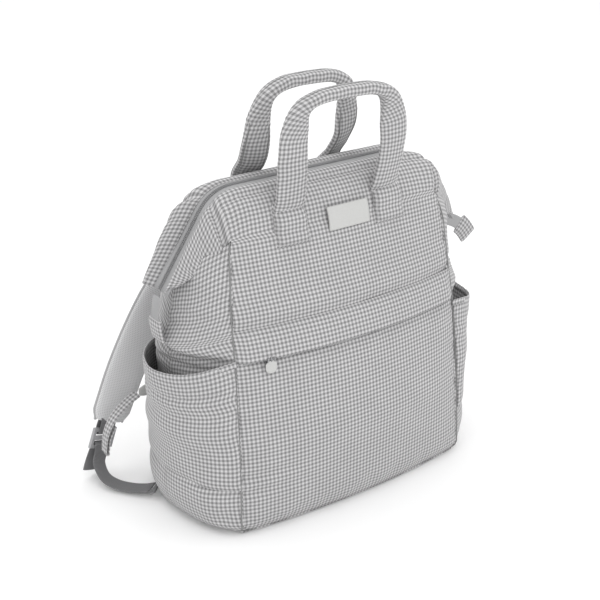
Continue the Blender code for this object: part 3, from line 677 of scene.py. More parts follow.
def seam_dress(x, z, low, high, seed):
    """Padding between the side seams and the panel's lower and upper seams."""
    reach = half_width(z) - abs(x)
    value = -edge_pull(reach, 0.0034, 0.005)
    value -= edge_pull(z - low, 0.0026, 0.004)
    value -= edge_pull(high - z, 0.0022, 0.004)
    pucker = edge_pull(reach, 1.0, 0.016)
    value += pucker * 0.0009 * math.sin(z * 2 * math.pi / 0.014 + 5 * ripple((x, 0, z), 0.05, seed))
    value += 0.0013 * ripple((x, 0, z), 0.070, seed) + 0.0003 * ripple((x, 0, z), 0.024, seed + 3)
    return value


def pocket_panel():
    low, high = WALL_FOOT, POCKET_TOP + 0.0032

    def dress(x, z):
        value = seam_dress(x, z, low - 0.006, high + 0.002, 1.0)
        crease = math.sin(z * 2 * math.pi / 0.020 - 9 * x)
        return value + 0.0013 * crease * bell(z, 0.062, 0.026) * bell(x, -0.135, 0.06)

    rows = face_grid(-1, low, high, 44, 64, dress)
    panel = grid_object("front_pocket_cover", rows, sheet_uvs(rows), GINGHAM, thickness=WALL_CLOTH)
    puff(panel, 2.0, 0.0025, lambda p: near_seams(p, low, high))
    attach(panel, "bag", "gingham", "front_pocket_panel")


def near_seams(point, low, high, margin=0.004):
    edge = half_width(point.z) - abs(point.x)
    return edge < margin or point.z < low + margin or point.z > high - margin


def rear_cover():
    low, high = WALL_FOOT, 0.300

    def dress(x, z):
        return seam_dress(x, z, low - 0.006, high + 0.05, 2.0)

    rows = face_grid(1, low, high, 56, 60, dress)
    panel = grid_object("rear_cover", rows, sheet_uvs(rows), GINGHAM, thickness=WALL_CLOTH)
    puff(panel, 2.0, 0.0016, lambda p: near_seams(p, low, high))
    attach(panel, "bag", "gingham", "rear_panel")


def back_pad():
    """Air-mesh pad with two sewn channels and a bound edge."""
    low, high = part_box("back_pad")[0].z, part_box("back_pad")[1].z
    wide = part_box("back_pad")[1].x

    def place(t, u):
        corner = 1 - 0.10 * (abs(2 * t - 1)) ** 6
        x = u * wide * 0.97 * corner
        z = low + (high - low) * t - 0.018 * u * u * t
        near = min(1 - abs(u), 2 * min(t, 1 - t) * 0.8)
        lift = 0.0075 * min(near / 0.14, 1.0) ** 0.5
        lift -= 0.0040 * (bell(x, 0.040, 0.0035) + bell(x, -0.040, 0.0035)) * min(near / 0.1, 1)
        return Vector((x, face_y(x, z) + lift + 0.0004 * ripple((x, 0, z), 0.03, 4), z))

    rows = point_grid(36, 48, place, flip=True)
    pad = grid_object("back_cushion", rows, sheet_uvs(rows), MESH, thickness=0.0025)
    puff(pad, 2.5, 0.0016, lambda p: sewn_down(p, wide, low, high))
    attach(pad, "bag", "mesh", "back_pad")
    edge = [row[0] for row in rows] + rows[-1] + [row[-1] for row in rows[::-1]] + rows[0][::-1]
    tube("back_cushion_binding", [p + Vector((0, 0.0006, 0)) for p in edge[::2]] + [edge[0]],
         0.0018, BINDING, "bag", "webbing")


def step_up(value, low, high):
    """0 below low, 1 above high, smooth between."""
    t = min(max((value - low) / (high - low), 0.0), 1.0)
    return t * t * (3 - 2 * t)


def sewn_down(point, wide, low, high):
    """Edges and the two sewn channels of the back cushion."""
    edge = min(wide * 0.95 - abs(point.x), point.z - low, high - 0.004 - point.z)
    return edge < 0.006 or abs(abs(point.x) - 0.040) < 0.003


def gusset_fold(v, z):
    """The side's upper cloth hangs over in a soft fold above the pocket, with lesser folds."""
    edge = 0.2015 + 0.003 * v + 0.002 * math.sin(5 * v)
    over = 0.0125 * step_up(z, edge - 0.001, edge + 0.004)
    value = over * math.exp(-max(z - edge - 0.008, 0.0) / 0.020)
    value -= 0.0026 * bell(z, edge - 0.004, 0.004)
    value += 0.0070 * bell(z, 0.180, 0.020) * bell(v, 0.40, 0.35)
    value += (0.0022 * bell(z, 0.190 - 0.004 * v, 0.0035)
              - 0.0020 * bell(z, 0.183 - 0.004 * v, 0.0030))
    slant = z + 0.012 * v
    value -= 0.0024 * bell(slant, 0.227, 0.0030) + 0.0018 * bell(z - 0.006 * v, 0.243, 0.0030)
    value += 0.0014 * bell(z - 0.014 * v, 0.060, 0.008)
    value += 0.0050 * bell(z, 0.160, 0.040) * max(v, 0.0)
    value += (0.010 + 0.004 * v) * bell(z, 0.283, 0.030) * bell(abs(v), 0.70, 0.28)
    return value * max(1 - v * v, 0.0) ** 0.5


def gusset_cover(side, word):
    low = WALL_FOOT
    rows = []
    count = 40
    for r in range(89):
        t = r / 88
        row = []
        for c in range(count + 1):
            v = -math.cos(math.pi * c / count)
            top = 0.2625 + 0.052 * abs(v) ** 1.15
            top += (0.006 + 0.014 * bell(v, 0.0, 0.45)) * (1 - v ** 4)
            z = low + (top - low) * t
            x = side_skin(v, z)
            if z > PIVOT_Z:
                lean = math.hypot(v * seam_y(z), z - PIVOT_Z)
                x = min(x, 0.1835 - lean / 1.75)
            reach = (1 - abs(v)) * seam_y(z)
            out = -edge_pull(reach, 0.0030, 0.006) - edge_pull(z - low + 0.006, 0.0026, 0.004)
            out += gusset_fold(v, z) + 0.0014 * ripple((x, v * 0.1, z), 0.045, 7 + side)
            out += 0.0004 * ripple((x, v * 0.1, z), 0.016, 9 + side)
            out += corner_out(z, -1 if v < 0 else 1, side) * step_up(abs(v), 0.35, 1.0)
            y = v * (seam_y(z) - SEAM_GAP)
            row.append(Vector((side * (x + out), y, z)))
        rows.append(row if side > 0 else row[::-1])
    cover = grid_object(f"gusset_cover_{word}", rows, sheet_uvs(rows), GINGHAM,
                        thickness=WALL_CLOTH)
    puff(cover, 2.0, 0.0016,
         lambda p: p.z < 0.010 or p.z > PIVOT_Z or abs(p.y) > seam_y(p.z) - 0.005)
    other = cover.copy()
    other.data = cover.data.copy()
    bpy.context.scene.collection.objects.link(other)
    for obj, half, face in ((cover, -1, "front"), (other, 1, "rear")):
        keep_half(obj.data, half)
        obj.name = f"gusset_cover_{word}_{face}"
        follow_face(obj, "gingham", half, f"gusset_{word}")


def keep_half(mesh, half):
    """Keep the faces on one side of the mid-plane."""
    bm = bmesh.new()
    bm.from_mesh(mesh)
    wrong = [f for f in bm.faces if f.calc_center_median().y * half < 0]
    bmesh.ops.delete(bm, geom=wrong, context="FACES")
    bm.to_mesh(mesh)
    bm.free()


def corner_seams():
    """Dark tube of painted seam shadow up each of the four corners of the body."""
    for side, face in ((-1, "front"), (1, "rear")):
        for sign, hand in ((-1, "left"), (1, "right")):
            path = []
            for k in range(60):
                z = 0.0035 + (FLAP_FOOT_Z - 0.0035) * k / 59
                x = half_width(z) - 0.0009 + corner_out(z, side, sign)
                path.append(Vector((sign * x, side * (seam_y(z) - 0.0009), z)))
            seam = band(f"seam_{face}_{hand}", path, lambda i, t: (1, 0, 0),
                        lambda t: 0.0008, lambda t: 0.0008, SEAM_SHADE, sides=8, power=1.0,
                        levels=0)
            follow_face(seam, "gingham", side)


def base_cover():
    """Bottom cloth, turned up all round to the walls' foot."""
    rings = []
    for z, inset in ((0.0030, 0.0008), (0.0012, 0.0030), (0.0004, 0.0070), (0.0, 0.014),
                     (0.0, 0.060), (0.0, 0.075)):
        rings.append([Vector((p.x, p.y, z)) for p in body_outline(0.005, inset, 24)])
    uvs = [[(p.x, p.y) for p in ring] for ring in rings]
    cover = grid_object("base_cover", rings, uvs, GINGHAM, closed=True, levels=0)
    close_rings(cover.data, len(rings[0]), (len(rings) - 1,), lay_cloth=True)
    outward(cover.data)
    thicken(cover, 0.0015)
    attach(cover, "bag", "gingham", "base_panel")


# ---------------------------------------------------------------- mouth
def ridge_line(leg_steps=14, bend_steps=8, top_steps=30):
    """Closed mouth line, left to right: points, and the outward direction at each."""
    leg = Vector((RIDGE_END_X - RIDGE_CORNER_X, 0.0, PIVOT_Z - RIDGE_TOP)).normalized()
    corner = Vector((RIDGE_CORNER_X, 0.0, RIDGE_TOP))
    foot = Vector((RIDGE_END_X, 0.0, PIVOT_Z)) - leg * 0.0135
    start = corner + leg * RIDGE_BEND
    end = corner - Vector((RIDGE_BEND, 0.0, 0.0))
    half = [foot.lerp(start, k / leg_steps) for k in range(leg_steps)]
    for k in range(bend_steps + 1):
        t = k / bend_steps
        half.append((1 - t) ** 2 * start + 2 * t * (1 - t) * corner + t * t * end)
    steps = top_steps // 2
    half += [end.lerp(Vector((0.0, 0.0, RIDGE_TOP)), (k + 1) / steps) for k in range(steps)]
    line = [Vector((-p.x, 0.0, p.z)) for p in half] + half[-2::-1]
    return [(p, Vector((-a.z, 0.0, a.x))) for p, a in zip(line, tangents(line))]


def flap_foot(point, side):
    """Lower edge of a mouth half for one station of the mouth line."""
    wide = half_width(FLAP_FOOT_Z)
    leg = leg_share(point)
    sign = math.copysign(1.0, point.x)
    if leg <= 0:
        x = point.x * wide / RIDGE_CORNER_X
        more = corner_out(FLAP_FOOT_Z, side, sign) * step_up(abs(x) / wide, 0.45, 1.0)
        return Vector((x + more, side * (face_y(x, FLAP_FOOT_Z) + FLAP_PROUD), FLAP_FOOT_Z))
    x = wide + (FLAP_END_X - wide) * leg ** 0.9
    x += corner_out(FLAP_FOOT_Z, side, sign) * (1 - leg) ** 2
    height = FLAP_FOOT_Z + (FLAP_END_Z - FLAP_FOOT_Z) * leg ** 0.75
    depth = (seam_y(FLAP_FOOT_Z) + 0.0012) * (1 - leg) ** 0.9 + 0.0105 * leg
    return Vector((sign * x, side * depth, height))


def flap_crown(share):
    """Padding of a mouth half between the zip's edge and its foot."""
    return 0.0124 * math.sin(math.pi * share) ** (0.85 + 0.15 * step_up(share, 0.5, 0.8))


def leg_share(point):
    """0 along the top of the mouth, growing to 1 down its sloping legs."""
    return min(max((abs(point.x) - RIDGE_CORNER_X) / (RIDGE_END_X - RIDGE_CORNER_X), 0.0), 1.0)


def mouth_point(side, point, out, share):
    """Point of a mouth half's skin: share runs from the zip's edge, 0, down to its foot, 1."""
    foot = flap_foot(point, side)
    top = point + Vector((0.0, side * FLAP_EDGE_Y, 0.0))
    leg = leg_share(point)
    channel = CHANNEL / (foot - top).length
    place = top.lerp(foot, share)
    crown = flap_crown(share) * (1 - 0.75 * leg)
    radial = Vector((0.0, place.y, place.z - PIVOT_Z)).normalized()
    lift = radial * crown
    if share < channel:
        lift += out * 0.0022 * math.sin(math.pi * share / channel)
    puckers = 0.0006 * math.sin(point.x * 2 * math.pi / 0.011) * bell(share, channel, 0.08)
    waves = 0.0010 * ripple(place, 0.045, 11 + side) * math.sin(math.pi * share)
    dip = 0.0019 * bell(share, channel, 0.035) if channel < 0.95 else 0.0
    at = abs(point.x)
    folds = -0.0060 * bell(at, 0.1290, 0.0028) * math.sin(math.pi * min(share, 0.5)) ** 0.6
    folds += 0.0030 * bell(at, 0.1360, 0.0040) * share
    folds -= 0.0038 * bell(at, 0.1435 + 0.004 * share, 0.0022) * share
    folds -= 0.0030 * bell(at, 0.1530 - 0.003 * share, 0.0022) * share ** 1.5
    folds -= 0.0022 * bell(at, 0.1640, 0.0025) * step_up(share, 0.3, 0.8)
    folds += 0.0016 * ripple(place, 0.028, 17) * step_up(leg, 0.05, 0.3) * math.sin(math.pi * share)
    lift += radial * (puckers + waves + folds - dip)
    if side > 0:
        fullness, fade = 0.018, 0.15
    else:
        fullness, fade = (0.016 if point.x > 0 else 0.009), 0.5
    fullness *= math.sin(math.pi * share) ** 0.9
    reach = step_up(abs(point.x), 0.104, 0.148)
    lift.x += math.copysign(fullness * reach * (1 - fade * leg), point.x)
    lift += radial * 0.0022 * step_up(share, 0.72, 0.90) * step_up(leg, 0.0, 0.2)
    return place + lift, channel


def mouth_half(side, face):
    """Cloth from the mouth's zip down over the wire channel to the face panel and the sides."""
    line = ridge_line(leg_steps=34, bend_steps=22, top_steps=40)
    shares = [0.0, 0.02, 0.06, 0.11, 0.17, 0.225, 0.26, 0.30, 0.335, 0.36, 0.385, 0.42, 0.48, 0.55,
              0.62, 0.70, 0.78, 0.85, 0.91, 0.96, 1.0]
    rows = []
    for share in shares:
        rows.append([mouth_point(side, point, out, share)[0] for point, out in line])
    seam = []
    for point, out in line:
        channel = mouth_point(side, point, out, 0.0)[1]
        if channel < 0.9:
            seam.append(mouth_point(side, point, out, channel)[0])
    stitches(f"{face}_channel_stitch", seam, lambda c: Vector((0.4 * c.x, c.y, c.z - PIVOT_Z)),
             f"{face}_mouth")
    return line, rows


def face_upper(side, face, bottom):
    """One sheet from the mouth down the face."""
    line, rows = mouth_half(side, face)
    chosen = [i for i, (p, _) in enumerate(line) if abs(p.x) <= RIDGE_CORNER_X + 1e-6]
    steps = 30
    lower = []
    for r in range(1, steps + 1):
        z = FLAP_FOOT_Z + (bottom - FLAP_FOOT_Z) * r / steps
        row = []
        for i in chosen:
            u = line[i][0].x / RIDGE_CORNER_X
            x = u * (half_width(z) - SEAM_GAP)
            more = corner_out(z, side, u) * step_up(abs(u), 0.45, 1.0)
            dressed = face_y(x, z) + seam_dress(x, z, bottom - 0.01, 0.38, 12.0 + side)
            if side < 0:
                dressed += 0.0022 * bell(z, 0.243, 0.010) - 0.0022 * bell(z, 0.2290, 0.0035)
            plain = face_y(x, z)
            y = (plain + FLAP_PROUD) + (dressed - plain - FLAP_PROUD) * step_up(r, 0, 7)
            row.append(Vector((x + more, side * y, z)))
        lower.append(row)
    build_upper(side, face, rows, lower, chosen)


def build_upper(side, face, rows, lower, chosen):
    """Join the mouth half and the face panel below it in one mesh with one cloth layout."""
    count = len(rows[0])
    verts = [p for row in rows for p in row]
    middle = count // 2
    ridge_run = arc_lengths(rows[0])
    uvs = []
    for i in range(len(rows)):
        for c in range(count):
            column = arc_lengths([row[c] for row in rows[:i + 1]]) if i else [0.0]
            uvs.append((ridge_run[c] - ridge_run[middle], -column[-1]))
    faces = quads(len(rows) - 1, count - 1, count)
    previous = [(len(rows) - 1) * count + c for c in chosen]
    centre = len(chosen) // 2
    depth = uvs[previous[centre]][1]
    before = rows[-1][chosen[centre]]
    for row in lower:
        start = len(verts)
        verts += row
        run = arc_lengths(row)
        depth -= (row[centre] - before).length
        uvs += [(r - run[centre], depth) for r in run]
        for k in range(len(row) - 1):
            faces.append((previous[k], previous[k + 1], start + k + 1, start + k))
        previous = [start + k for k in range(len(row))]
        before = row[centre]
    obj = new_object(f"{face}_upper_cover", verts, faces, GINGHAM,
                     [uvs[i] for corners in faces for i in corners])
    obj.data.materials.append(LINING)
    turn_out(obj.data, lambda c: Vector((c.x * 0.3, c.y, (c.z - 0.25) * 0.5)))
    subdivide(obj)
    thicken(obj, 0.0028).material_offset = 1
    follow_face(obj, "gingham", side, f"{face}_flap", *(["front_yoke"] if side < 0 else []))


def turn_out(mesh, outside):
    """Flip the mesh if most of its faces look inward."""
    score = sum(p.normal.dot(outside(p.center)) * p.area for p in mesh.polygons)
    if score < 0:
        mesh.flip_normals()
    mesh.shade_smooth()


# ---------------------------------------------------------------- zips
def strip_along(name, left, right, material, body, slot, *nodes):
    """Flat strip of tape between two paths."""
    rows = [[a, a.lerp(b, 0.5), b] for a, b in zip(left, right)]
    runs = arc_lengths(left)
    uvs = [[(0.0, s), ((a - b).length / 2, s), ((a - b).length, s)]
           for s, a, b in zip(runs, left, right)]
    obj = grid_object(name, rows, uvs, material, thickness=0.0008, levels=0)
    return attach(obj, body, slot, *nodes)


def teeth_along(name, path, out, body, node):
    """Nylon coil seen from outside: one small bead for each turn."""
    run = arc_lengths(path)
    count = int(run[-1] / TOOTH_PITCH)
    verts, faces = [], []
    for n in range(count):
        centre, k = point_at(path, run, (n + 0.5) * run[-1] / count)
        along = (Vector(path[k + 1]) - Vector(path[k])).normalized()
        up = Vector(out[k]).normalized()
        across = along.cross(up)
        base = len(verts)
        for rise, grow in ((-0.0010, 1.0), (0.0004, 1.0), (0.0009, 0.55)):
            for a, b in ((-1, -1), (1, -1), (1, 1), (-1, 1)):
                verts.append(centre + along * a * TOOTH_PITCH * 0.33 * grow
                             + across * b * TOOTH_WIDTH * grow + up * rise)
        faces += [tuple(base + i for i in corners) for corners in quads(2, 4, 4)]
        faces.append((base + 8, base + 9, base + 10, base + 11))
        faces.append((base + 3, base + 2, base + 1, base))
    obj = new_object(name, verts, faces, TEETH)
    outward(obj.data)
    obj.data.shade_flat()
    attach(obj, body, "coil", node)


def main_zip():
    line = ridge_line(leg_steps=14, bend_steps=8, top_steps=24)
    for side, face in ((-1, "front"), (1, "rear")):
        inner = [p + Vector((0, side * 0.0004, 0)) + n * 0.0006 for p, n in line]
        outer = []
        for p, n in line:
            flare = step_up(leg_share(p), 0.45, 0.95)
            outer.append(p + Vector((0, side * (FLAP_EDGE_Y + 0.0012 + 0.009 * flare), 0))
                         + n * (0.0026 * flare - 0.0002))
        pair = (inner, outer) if side < 0 else (outer, inner)
        strip_along(f"{face}_zip_band", *pair, TAPE, f"{face}_mouth", "tape", f"{face}_main_tape")
        coil = [p + Vector((0, side * 0.0014, 0)) + n * 0.0010 for p, n in line]
        teeth_along(f"{face}_zip_teeth", coil, [n for _, n in line], f"{face}_mouth",
                    f"{face}_main_coil")
        edge = [p + Vector((0, side * (FLAP_EDGE_Y + 0.0022), 0)) + n * 0.0010 for p, n in line]
        stitches(f"{face}_zip_stitch", edge, lambda c: Vector((0, 0.2, 1)), f"{face}_mouth")


def front_zip():
    cols = 60
    reach = 0.137

    def level(z, proud):
        across = [reach * (2 * c / cols - 1) for c in range(cols + 1)]
        return [Vector((x, -(face_y(x, z) + proud), z)) for x in across]

    strip_along("pocket_zip_band", level(POCKET_TOP, -0.0012), level(0.2032, -0.0012), TAPE,
                "bag", "tape", "front_zip_tape")
    coil = level(ZIP_HEIGHT, 0.0004)
    teeth_along("pocket_zip_teeth", coil, [Vector((0, -1, 0))] * len(coil), "bag",
                "front_zip_coil")
    foot, height = 0.1972, 0.0318
    rises = [0.0, 0.0006, 0.0018, 0.0045, 0.008, 0.012, 0.016, 0.020, 0.024, 0.0275, 0.0300,
             height]
    rows = []
    for k, rise in enumerate(rises):
        z = foot + rise
        row = []
        for c in range(cols + 1):
            x = (half_width(z) - 0.0012) * (2 * c / cols - 1)
            end = step_up(half_width(z) - abs(x), 0.0015, 0.012)
            round_over = (1 - (rise / height) ** 2.6) ** 0.6
            proud = 0.0062 * round_over * end + 0.0006 * ripple((x, 0, z), 0.03, 21) - 0.0008
            if k == 0:
                proud -= 0.0016
            row.append(Vector((x, -(face_y(x, z) + proud), z)))
        rows.append(row)
    cover = grid_object("front_placket_cover", rows, sheet_uvs(rows), GINGHAM, thickness=0.0016)
    attach(cover, "bag", "gingham", "front_placket")
    seam = [Vector((p.x, p.y - 0.0004, p.z)) for p in rows[-3]]
    stitches("placket_stitch", seam, lambda c: Vector((0, -1, 0)), "bag")


# ---------------------------------------------------------------- side pockets
def pocket_rim(v, side):
    top = 0.184 if side < 0 else 0.176
    return top + 0.016 * max(-v, 0.0) ** 3 - 0.010 * max(v, 0.0) ** 2


def pocket_swell(v, t, side):
    full = 0.028 if side < 0 else 0.032
    return full * max(1 - v * v, 0.0) ** 0.25 * t ** 0.6 * (1 - 0.48 * max(v, 0.0) * t)


def side_pocket(side, word):
    """Gathered pocket: full in the body, drawn in at its elastic cuff, with a rolled rim."""
    rows = []
    cols = 56
    heights = [k / 30 for k in range(31)]
    for t in heights + [1.004, 0.990, 0.955]:
        row = []
        roll = (0.0, -0.0012, -0.0028)[min(max(len(rows) - 30, 0), 2)]
        for c in range(cols + 1):
            v = -math.cos(math.pi * c / cols)
            rim = pocket_rim(v, side)
            z = POCKET_FOOT + (rim - POCKET_FOOT) * t
            swell = pocket_swell(v, min(t, 1.0), side)
            cuff = rim - z
            body = 1 - bell(cuff, 0.0285, 0.004) * 0.10 if cuff < 0.08 else 1.0
            gathers = math.sin(v * 46 + 3 * ripple((v, 0, z), 0.3, 31))
            pleats = 0.0011 * gathers * (bell(cuff, 0.034, 0.012) + 0.5 * bell(cuff, 0.004, 0.010))
            sag = 0.0026 * bell(z + 0.010 * v, 0.112, 0.012)
            sag -= 0.0020 * bell(z + 0.014 * v, 0.132, 0.007)
            edge = max(1 - v * v, 0.0) ** 0.5
            out = swell * body + 0.0026 * edge ** 0.3 + (pleats + sag) * edge
            out += 0.0014 * ripple((v * 0.09, side, z), 0.035, 33) * edge
            y = v * (seam_y(z) + SEAM_GAP)
            row.append(Vector((side * (side_skin(v, z) + out + roll), y, z)))
        rows.append(row if side > 0 else row[::-1])
    cover = grid_object(f"pocket_cover_{word}", rows, sheet_uvs(rows), GINGHAM, thickness=0.0010)
    attach(cover, "bag", "gingham", f"side_pocket_{word}", f"side_pocket_elastic_{word}")
    line = []
    for c in range(3, cols - 2):
        v = -math.cos(math.pi * c / cols)
        z = pocket_rim(v, side) - CUFF
        t = (z - POCKET_FOOT) / (pocket_rim(v, side) - POCKET_FOOT)
        x = gusset_x(v, z) + pocket_swell(v, t, side) * 0.905 + 0.0032
        line.append(Vector((side * x, v * seam_y(z), z)))
    stitches(f"cuff_stitch_{word}", line, lambda c: Vector((side, 0, 0)), "bag", length=0.0026)


# ---------------------------------------------------------------- handles
HANDLE_X = 0.0615
HANDLE_TOP = 0.4505


def handle_path(foot_y, waist_y, top_y):
    if foot_y > 0:
        bend = [(-HANDLE_X, foot_y + 0.0005, 0.349),
                (-HANDLE_X, foot_y + (waist_y - foot_y) * 0.55, 0.3655)]
    else:
        bend = [(-HANDLE_X, foot_y - 0.0055, 0.351)]
    half = [(-HANDLE_X, foot_y, 0.337), *bend, (-HANDLE_X - 0.002, waist_y, 0.388),
            (-HANDLE_X, (waist_y + top_y) / 2, 0.418), (-0.0535, top_y, 0.4395),
            (-0.034, top_y, 0.4485), (0.0, top_y, HANDLE_TOP)]
    return half + [(-x, y, z) for x, y, z in half[-2::-1]]


def handle(word):
    """Padded strap, flat on its legs and rolled into a grip over the top."""
    side_y = 1 if word == "rear" else -1
    narrow = 0.91 if word == "rear" else 1.0
    path = smooth_path([(x * narrow, y, z) for x, y, z in handle_path(*HANDLE_LINES[word])],
                       12)
    foot = Vector(path[0])
    path = [foot + Vector((0, side_y * 0.0004, -0.006))] + path
    path += [Vector((-path[0].x, path[0].y, path[0].z))]

    def roll(t):
        return 1 - step_up(abs(t - 0.5), 0.105, 0.285)

    def wide(t):
        leg = 0.0156 if word == "rear" else 0.0168
        return leg + (0.0064 - leg) * roll(t)

    def thick(t):
        return 0.0044 + (0.0088 - 0.0044) * roll(t)

    def across(i, t):
        angle = math.pi * t
        return (math.cos(angle), 0.0, -math.sin(angle))

    def swell(place, t, u, v, side, normal):
        tuck = bell(abs(t - 0.5), 0.215, 0.040)
        crease = math.sin(t * 420 + 2.2 * u) * tuck * 0.0007
        value = 0.0004 * ripple(place, 0.016, 41) + crease
        edge = -0.0011 * bell(abs(u), 0.78, 0.10) * (1 - roll(t))
        return side * u * value + normal * v * (value + edge)

    obj = band(f"{word}_handle_cover", path, across, wide, thick, GINGHAM, sides=28, power=0.62,
               swell=swell)
    bend_at(obj, word, side_y, "gingham", f"{word}_handle")
    last = len(path) - 1
    # dark tubes along the handle's two edges: painted seam shadow
    for edge in (-1, 1):
        seam = []
        for i, (point, along) in enumerate(zip(path, tangents(path))):
            t = i / last
            side = Vector(across(i, t))
            side = (side - along * side.dot(along)).normalized()
            face = along.cross(side)
            if face.y * side_y < 0:
                face = -face
            share = 0.80 + (0.98 - 0.80) * roll(t)
            sunk = face * thick(t) * 0.78 * (1 - roll(t))
            seam.append(point + side * edge * wide(t) * share - sunk)
        word_edge = "low" if edge < 0 else "high"
        line = band(f"{word}_handle_seam_shadow_{word_edge}", seam, lambda i, t: (1, 0, 0.2),
                    lambda t: 0.0006, lambda t: 0.0006, SEAM_SHADE, sides=6, power=1.0, levels=0)
        bend_at(line, word, side_y, "gingham")


def bend_at(obj, word, side_y, slot, *nodes):
    """Hide the named CAD nodes and bake the object's place into its mesh."""
    if nodes:
        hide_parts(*nodes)
    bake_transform(obj)


def handle_anchor(side, face, sign, hand):
    """Square end of a handle sewn to the flap, with its stitched border."""
    middle = sign * 0.0605 + (0.0045 if side < 0 < sign else 0.0)

    def place(t, u):
        z = ANCHOR_LOW + (ANCHOR_HIGH - ANCHOR_LOW) * t
        x = middle + u * (0.0215 - 0.0030 * t)
        edge = min(1 - abs(u), 2 * min(t, 1.2 - t))
        lift = 0.0062 * min(edge / 0.20, 1.0) ** 0.5
        lift -= 0.0016 * bell(1 - abs(u), 0.20, 0.07) * min(t * 8, 1)
        lift -= 0.0016 * bell(t, 0.12, 0.05)
        lift += 0.0040 * step_up(t, 0.6, 1.0) * bell(u, 0.0, 0.8)
        return Vector((x, side * (surface_y(x, z) + lift), z))

    rows = point_grid(14, 14, place, flip=side > 0)
    obj = grid_object(f"{face}_anchor_{hand}", rows, sheet_uvs(rows), GINGHAM, thickness=0.004)
    follow_face(obj, "gingham", side, f"{face}_handle_anchor_{hand}")
    inner = rows[1:-3]
    border = [row[1] for row in inner[::-1]] + inner[0][2:-2] + [row[-2] for row in inner]
    thread = stitches(f"{face}_anchor_thread_{hand}", border,
                      lambda c: Vector((0, side, 0.3)), None)
    follow_face(thread, "gingham", side)


def surface_y(x, z):
    """Distance from the mid-plane of the face cover, flap and panel alike."""
    if z <= FLAP_FOOT_Z:
        return face_y(x, z)
    t = (RIDGE_TOP - z) / (RIDGE_TOP - FLAP_FOOT_Z)
    flat = FLAP_EDGE_Y + (face_y(x, FLAP_FOOT_Z) + FLAP_PROUD - FLAP_EDGE_Y) * t
    crown = flap_crown(t)
    way = Vector((0.0, flat, z - PIVOT_Z)).normalized()
    return flat + crown * way.y + 0.6 * crown * way.z


def label():
    """Blank pale patch with a turned edge."""
    low, high = 0.3058, 0.3300
    rows = []
    for r in range(9):
        t = r / 8
        row = []
        for c in range(13):
            x = -0.0165 + 0.0525 * c / 12
            z = low + (high - low) * t
            flat = surface_y(x, low) * (1 - t) + surface_y(x, high) * t
            row.append(Vector((x, -(flat + 0.0028 + 0.0012 * math.sin(math.pi * t)), z)))
        rows.append(row)
    obj = grid_object("label", rows, sheet_uvs(rows), LEATHER, thickness=0.0016)
    follow_face(obj, "leather", -1, "label_patch")


# ---------------------------------------------------------------- straps
STRAP_ROUTE = (
    (-0.078, 0.0838, 0.240), (-0.078, 0.0905, 0.243), (-0.084, 0.0990, 0.243),
    (-0.097, 0.1060, 0.234), (-0.112, 0.1105, 0.218), (-0.128, 0.1135, 0.198),
    (-0.151, 0.1150, 0.162), (-0.172, 0.1160, 0.123), (-0.188, 0.1160, 0.088),
    (-0.199, 0.1155, 0.064),
)
LOCK_CENTRE = Vector((-0.2080, 0.1145, 0.0460))
LOCK_DOWN = Vector((-0.36, -0.03, -0.93)).normalized()
LOCK_ACROSS = Vector((0.90, 0.25, -0.355)).normalized()
WEB_ROUTE = (
    (-0.2190, 0.1050, 0.0210), (-0.2190, 0.0930, 0.0095), (-0.2130, 0.0790, 0.0045),
    (-0.2030, 0.0650, 0.0035), (-0.1930, 0.0530, 0.0050), (-0.1850, 0.0440, 0.0085),
)


def mirrored(points, sign):
    return [Vector((p[0] * sign, p[1], p[2])) for p in points]


def shoulder_strap(word, sign):
    body = f"strap_{word}"
    path = smooth_path(mirrored(STRAP_ROUTE, sign), 6)

    def across(i, t):
        return Vector((sign, 0.0, -0.5 * min(t * 2.5, 1.0)))

    def wide(t):
        return 0.029 - 0.006 * t - 0.005 * step_up(t, 0.94, 1.0)

    pad = band(f"shoulder_pad_{word}", path, across, wide, lambda t: 0.0052, MESH, sides=20,
               power=0.6)
    attach(pad, body, "mesh", f"shoulder_strap_{word}")
    for edge in (-1, 1):
        rim = []
        for i, (point, along) in enumerate(zip(path, tangents(path))):
            side = across(i, i / (len(path) - 1))
            side = (side - along * side.dot(along)).normalized()
            rim.append(point + side * edge * (wide(i / (len(path) - 1)) - 0.0004))
        tube(f"strap_binding_{word}_{'outer' if edge < 0 else 'inner'}", rim, 0.0016, BINDING, body,
             "webbing")
    finish(f"ladder_lock_{word}", PLASTIC)
    lock_webbing(word, sign, body)


def lock_frame(sign):
    down = Vector((LOCK_DOWN.x * sign, LOCK_DOWN.y, LOCK_DOWN.z))
    wide = Vector((LOCK_ACROSS.x * sign, LOCK_ACROSS.y, LOCK_ACROSS.z))
    wide = (wide - down * wide.dot(down)).normalized()
    out = wide.cross(down).normalized()
    if out.y < 0:
        out = -out
    return Vector((LOCK_CENTRE.x * sign, LOCK_CENTRE.y, LOCK_CENTRE.z)), down, wide, out


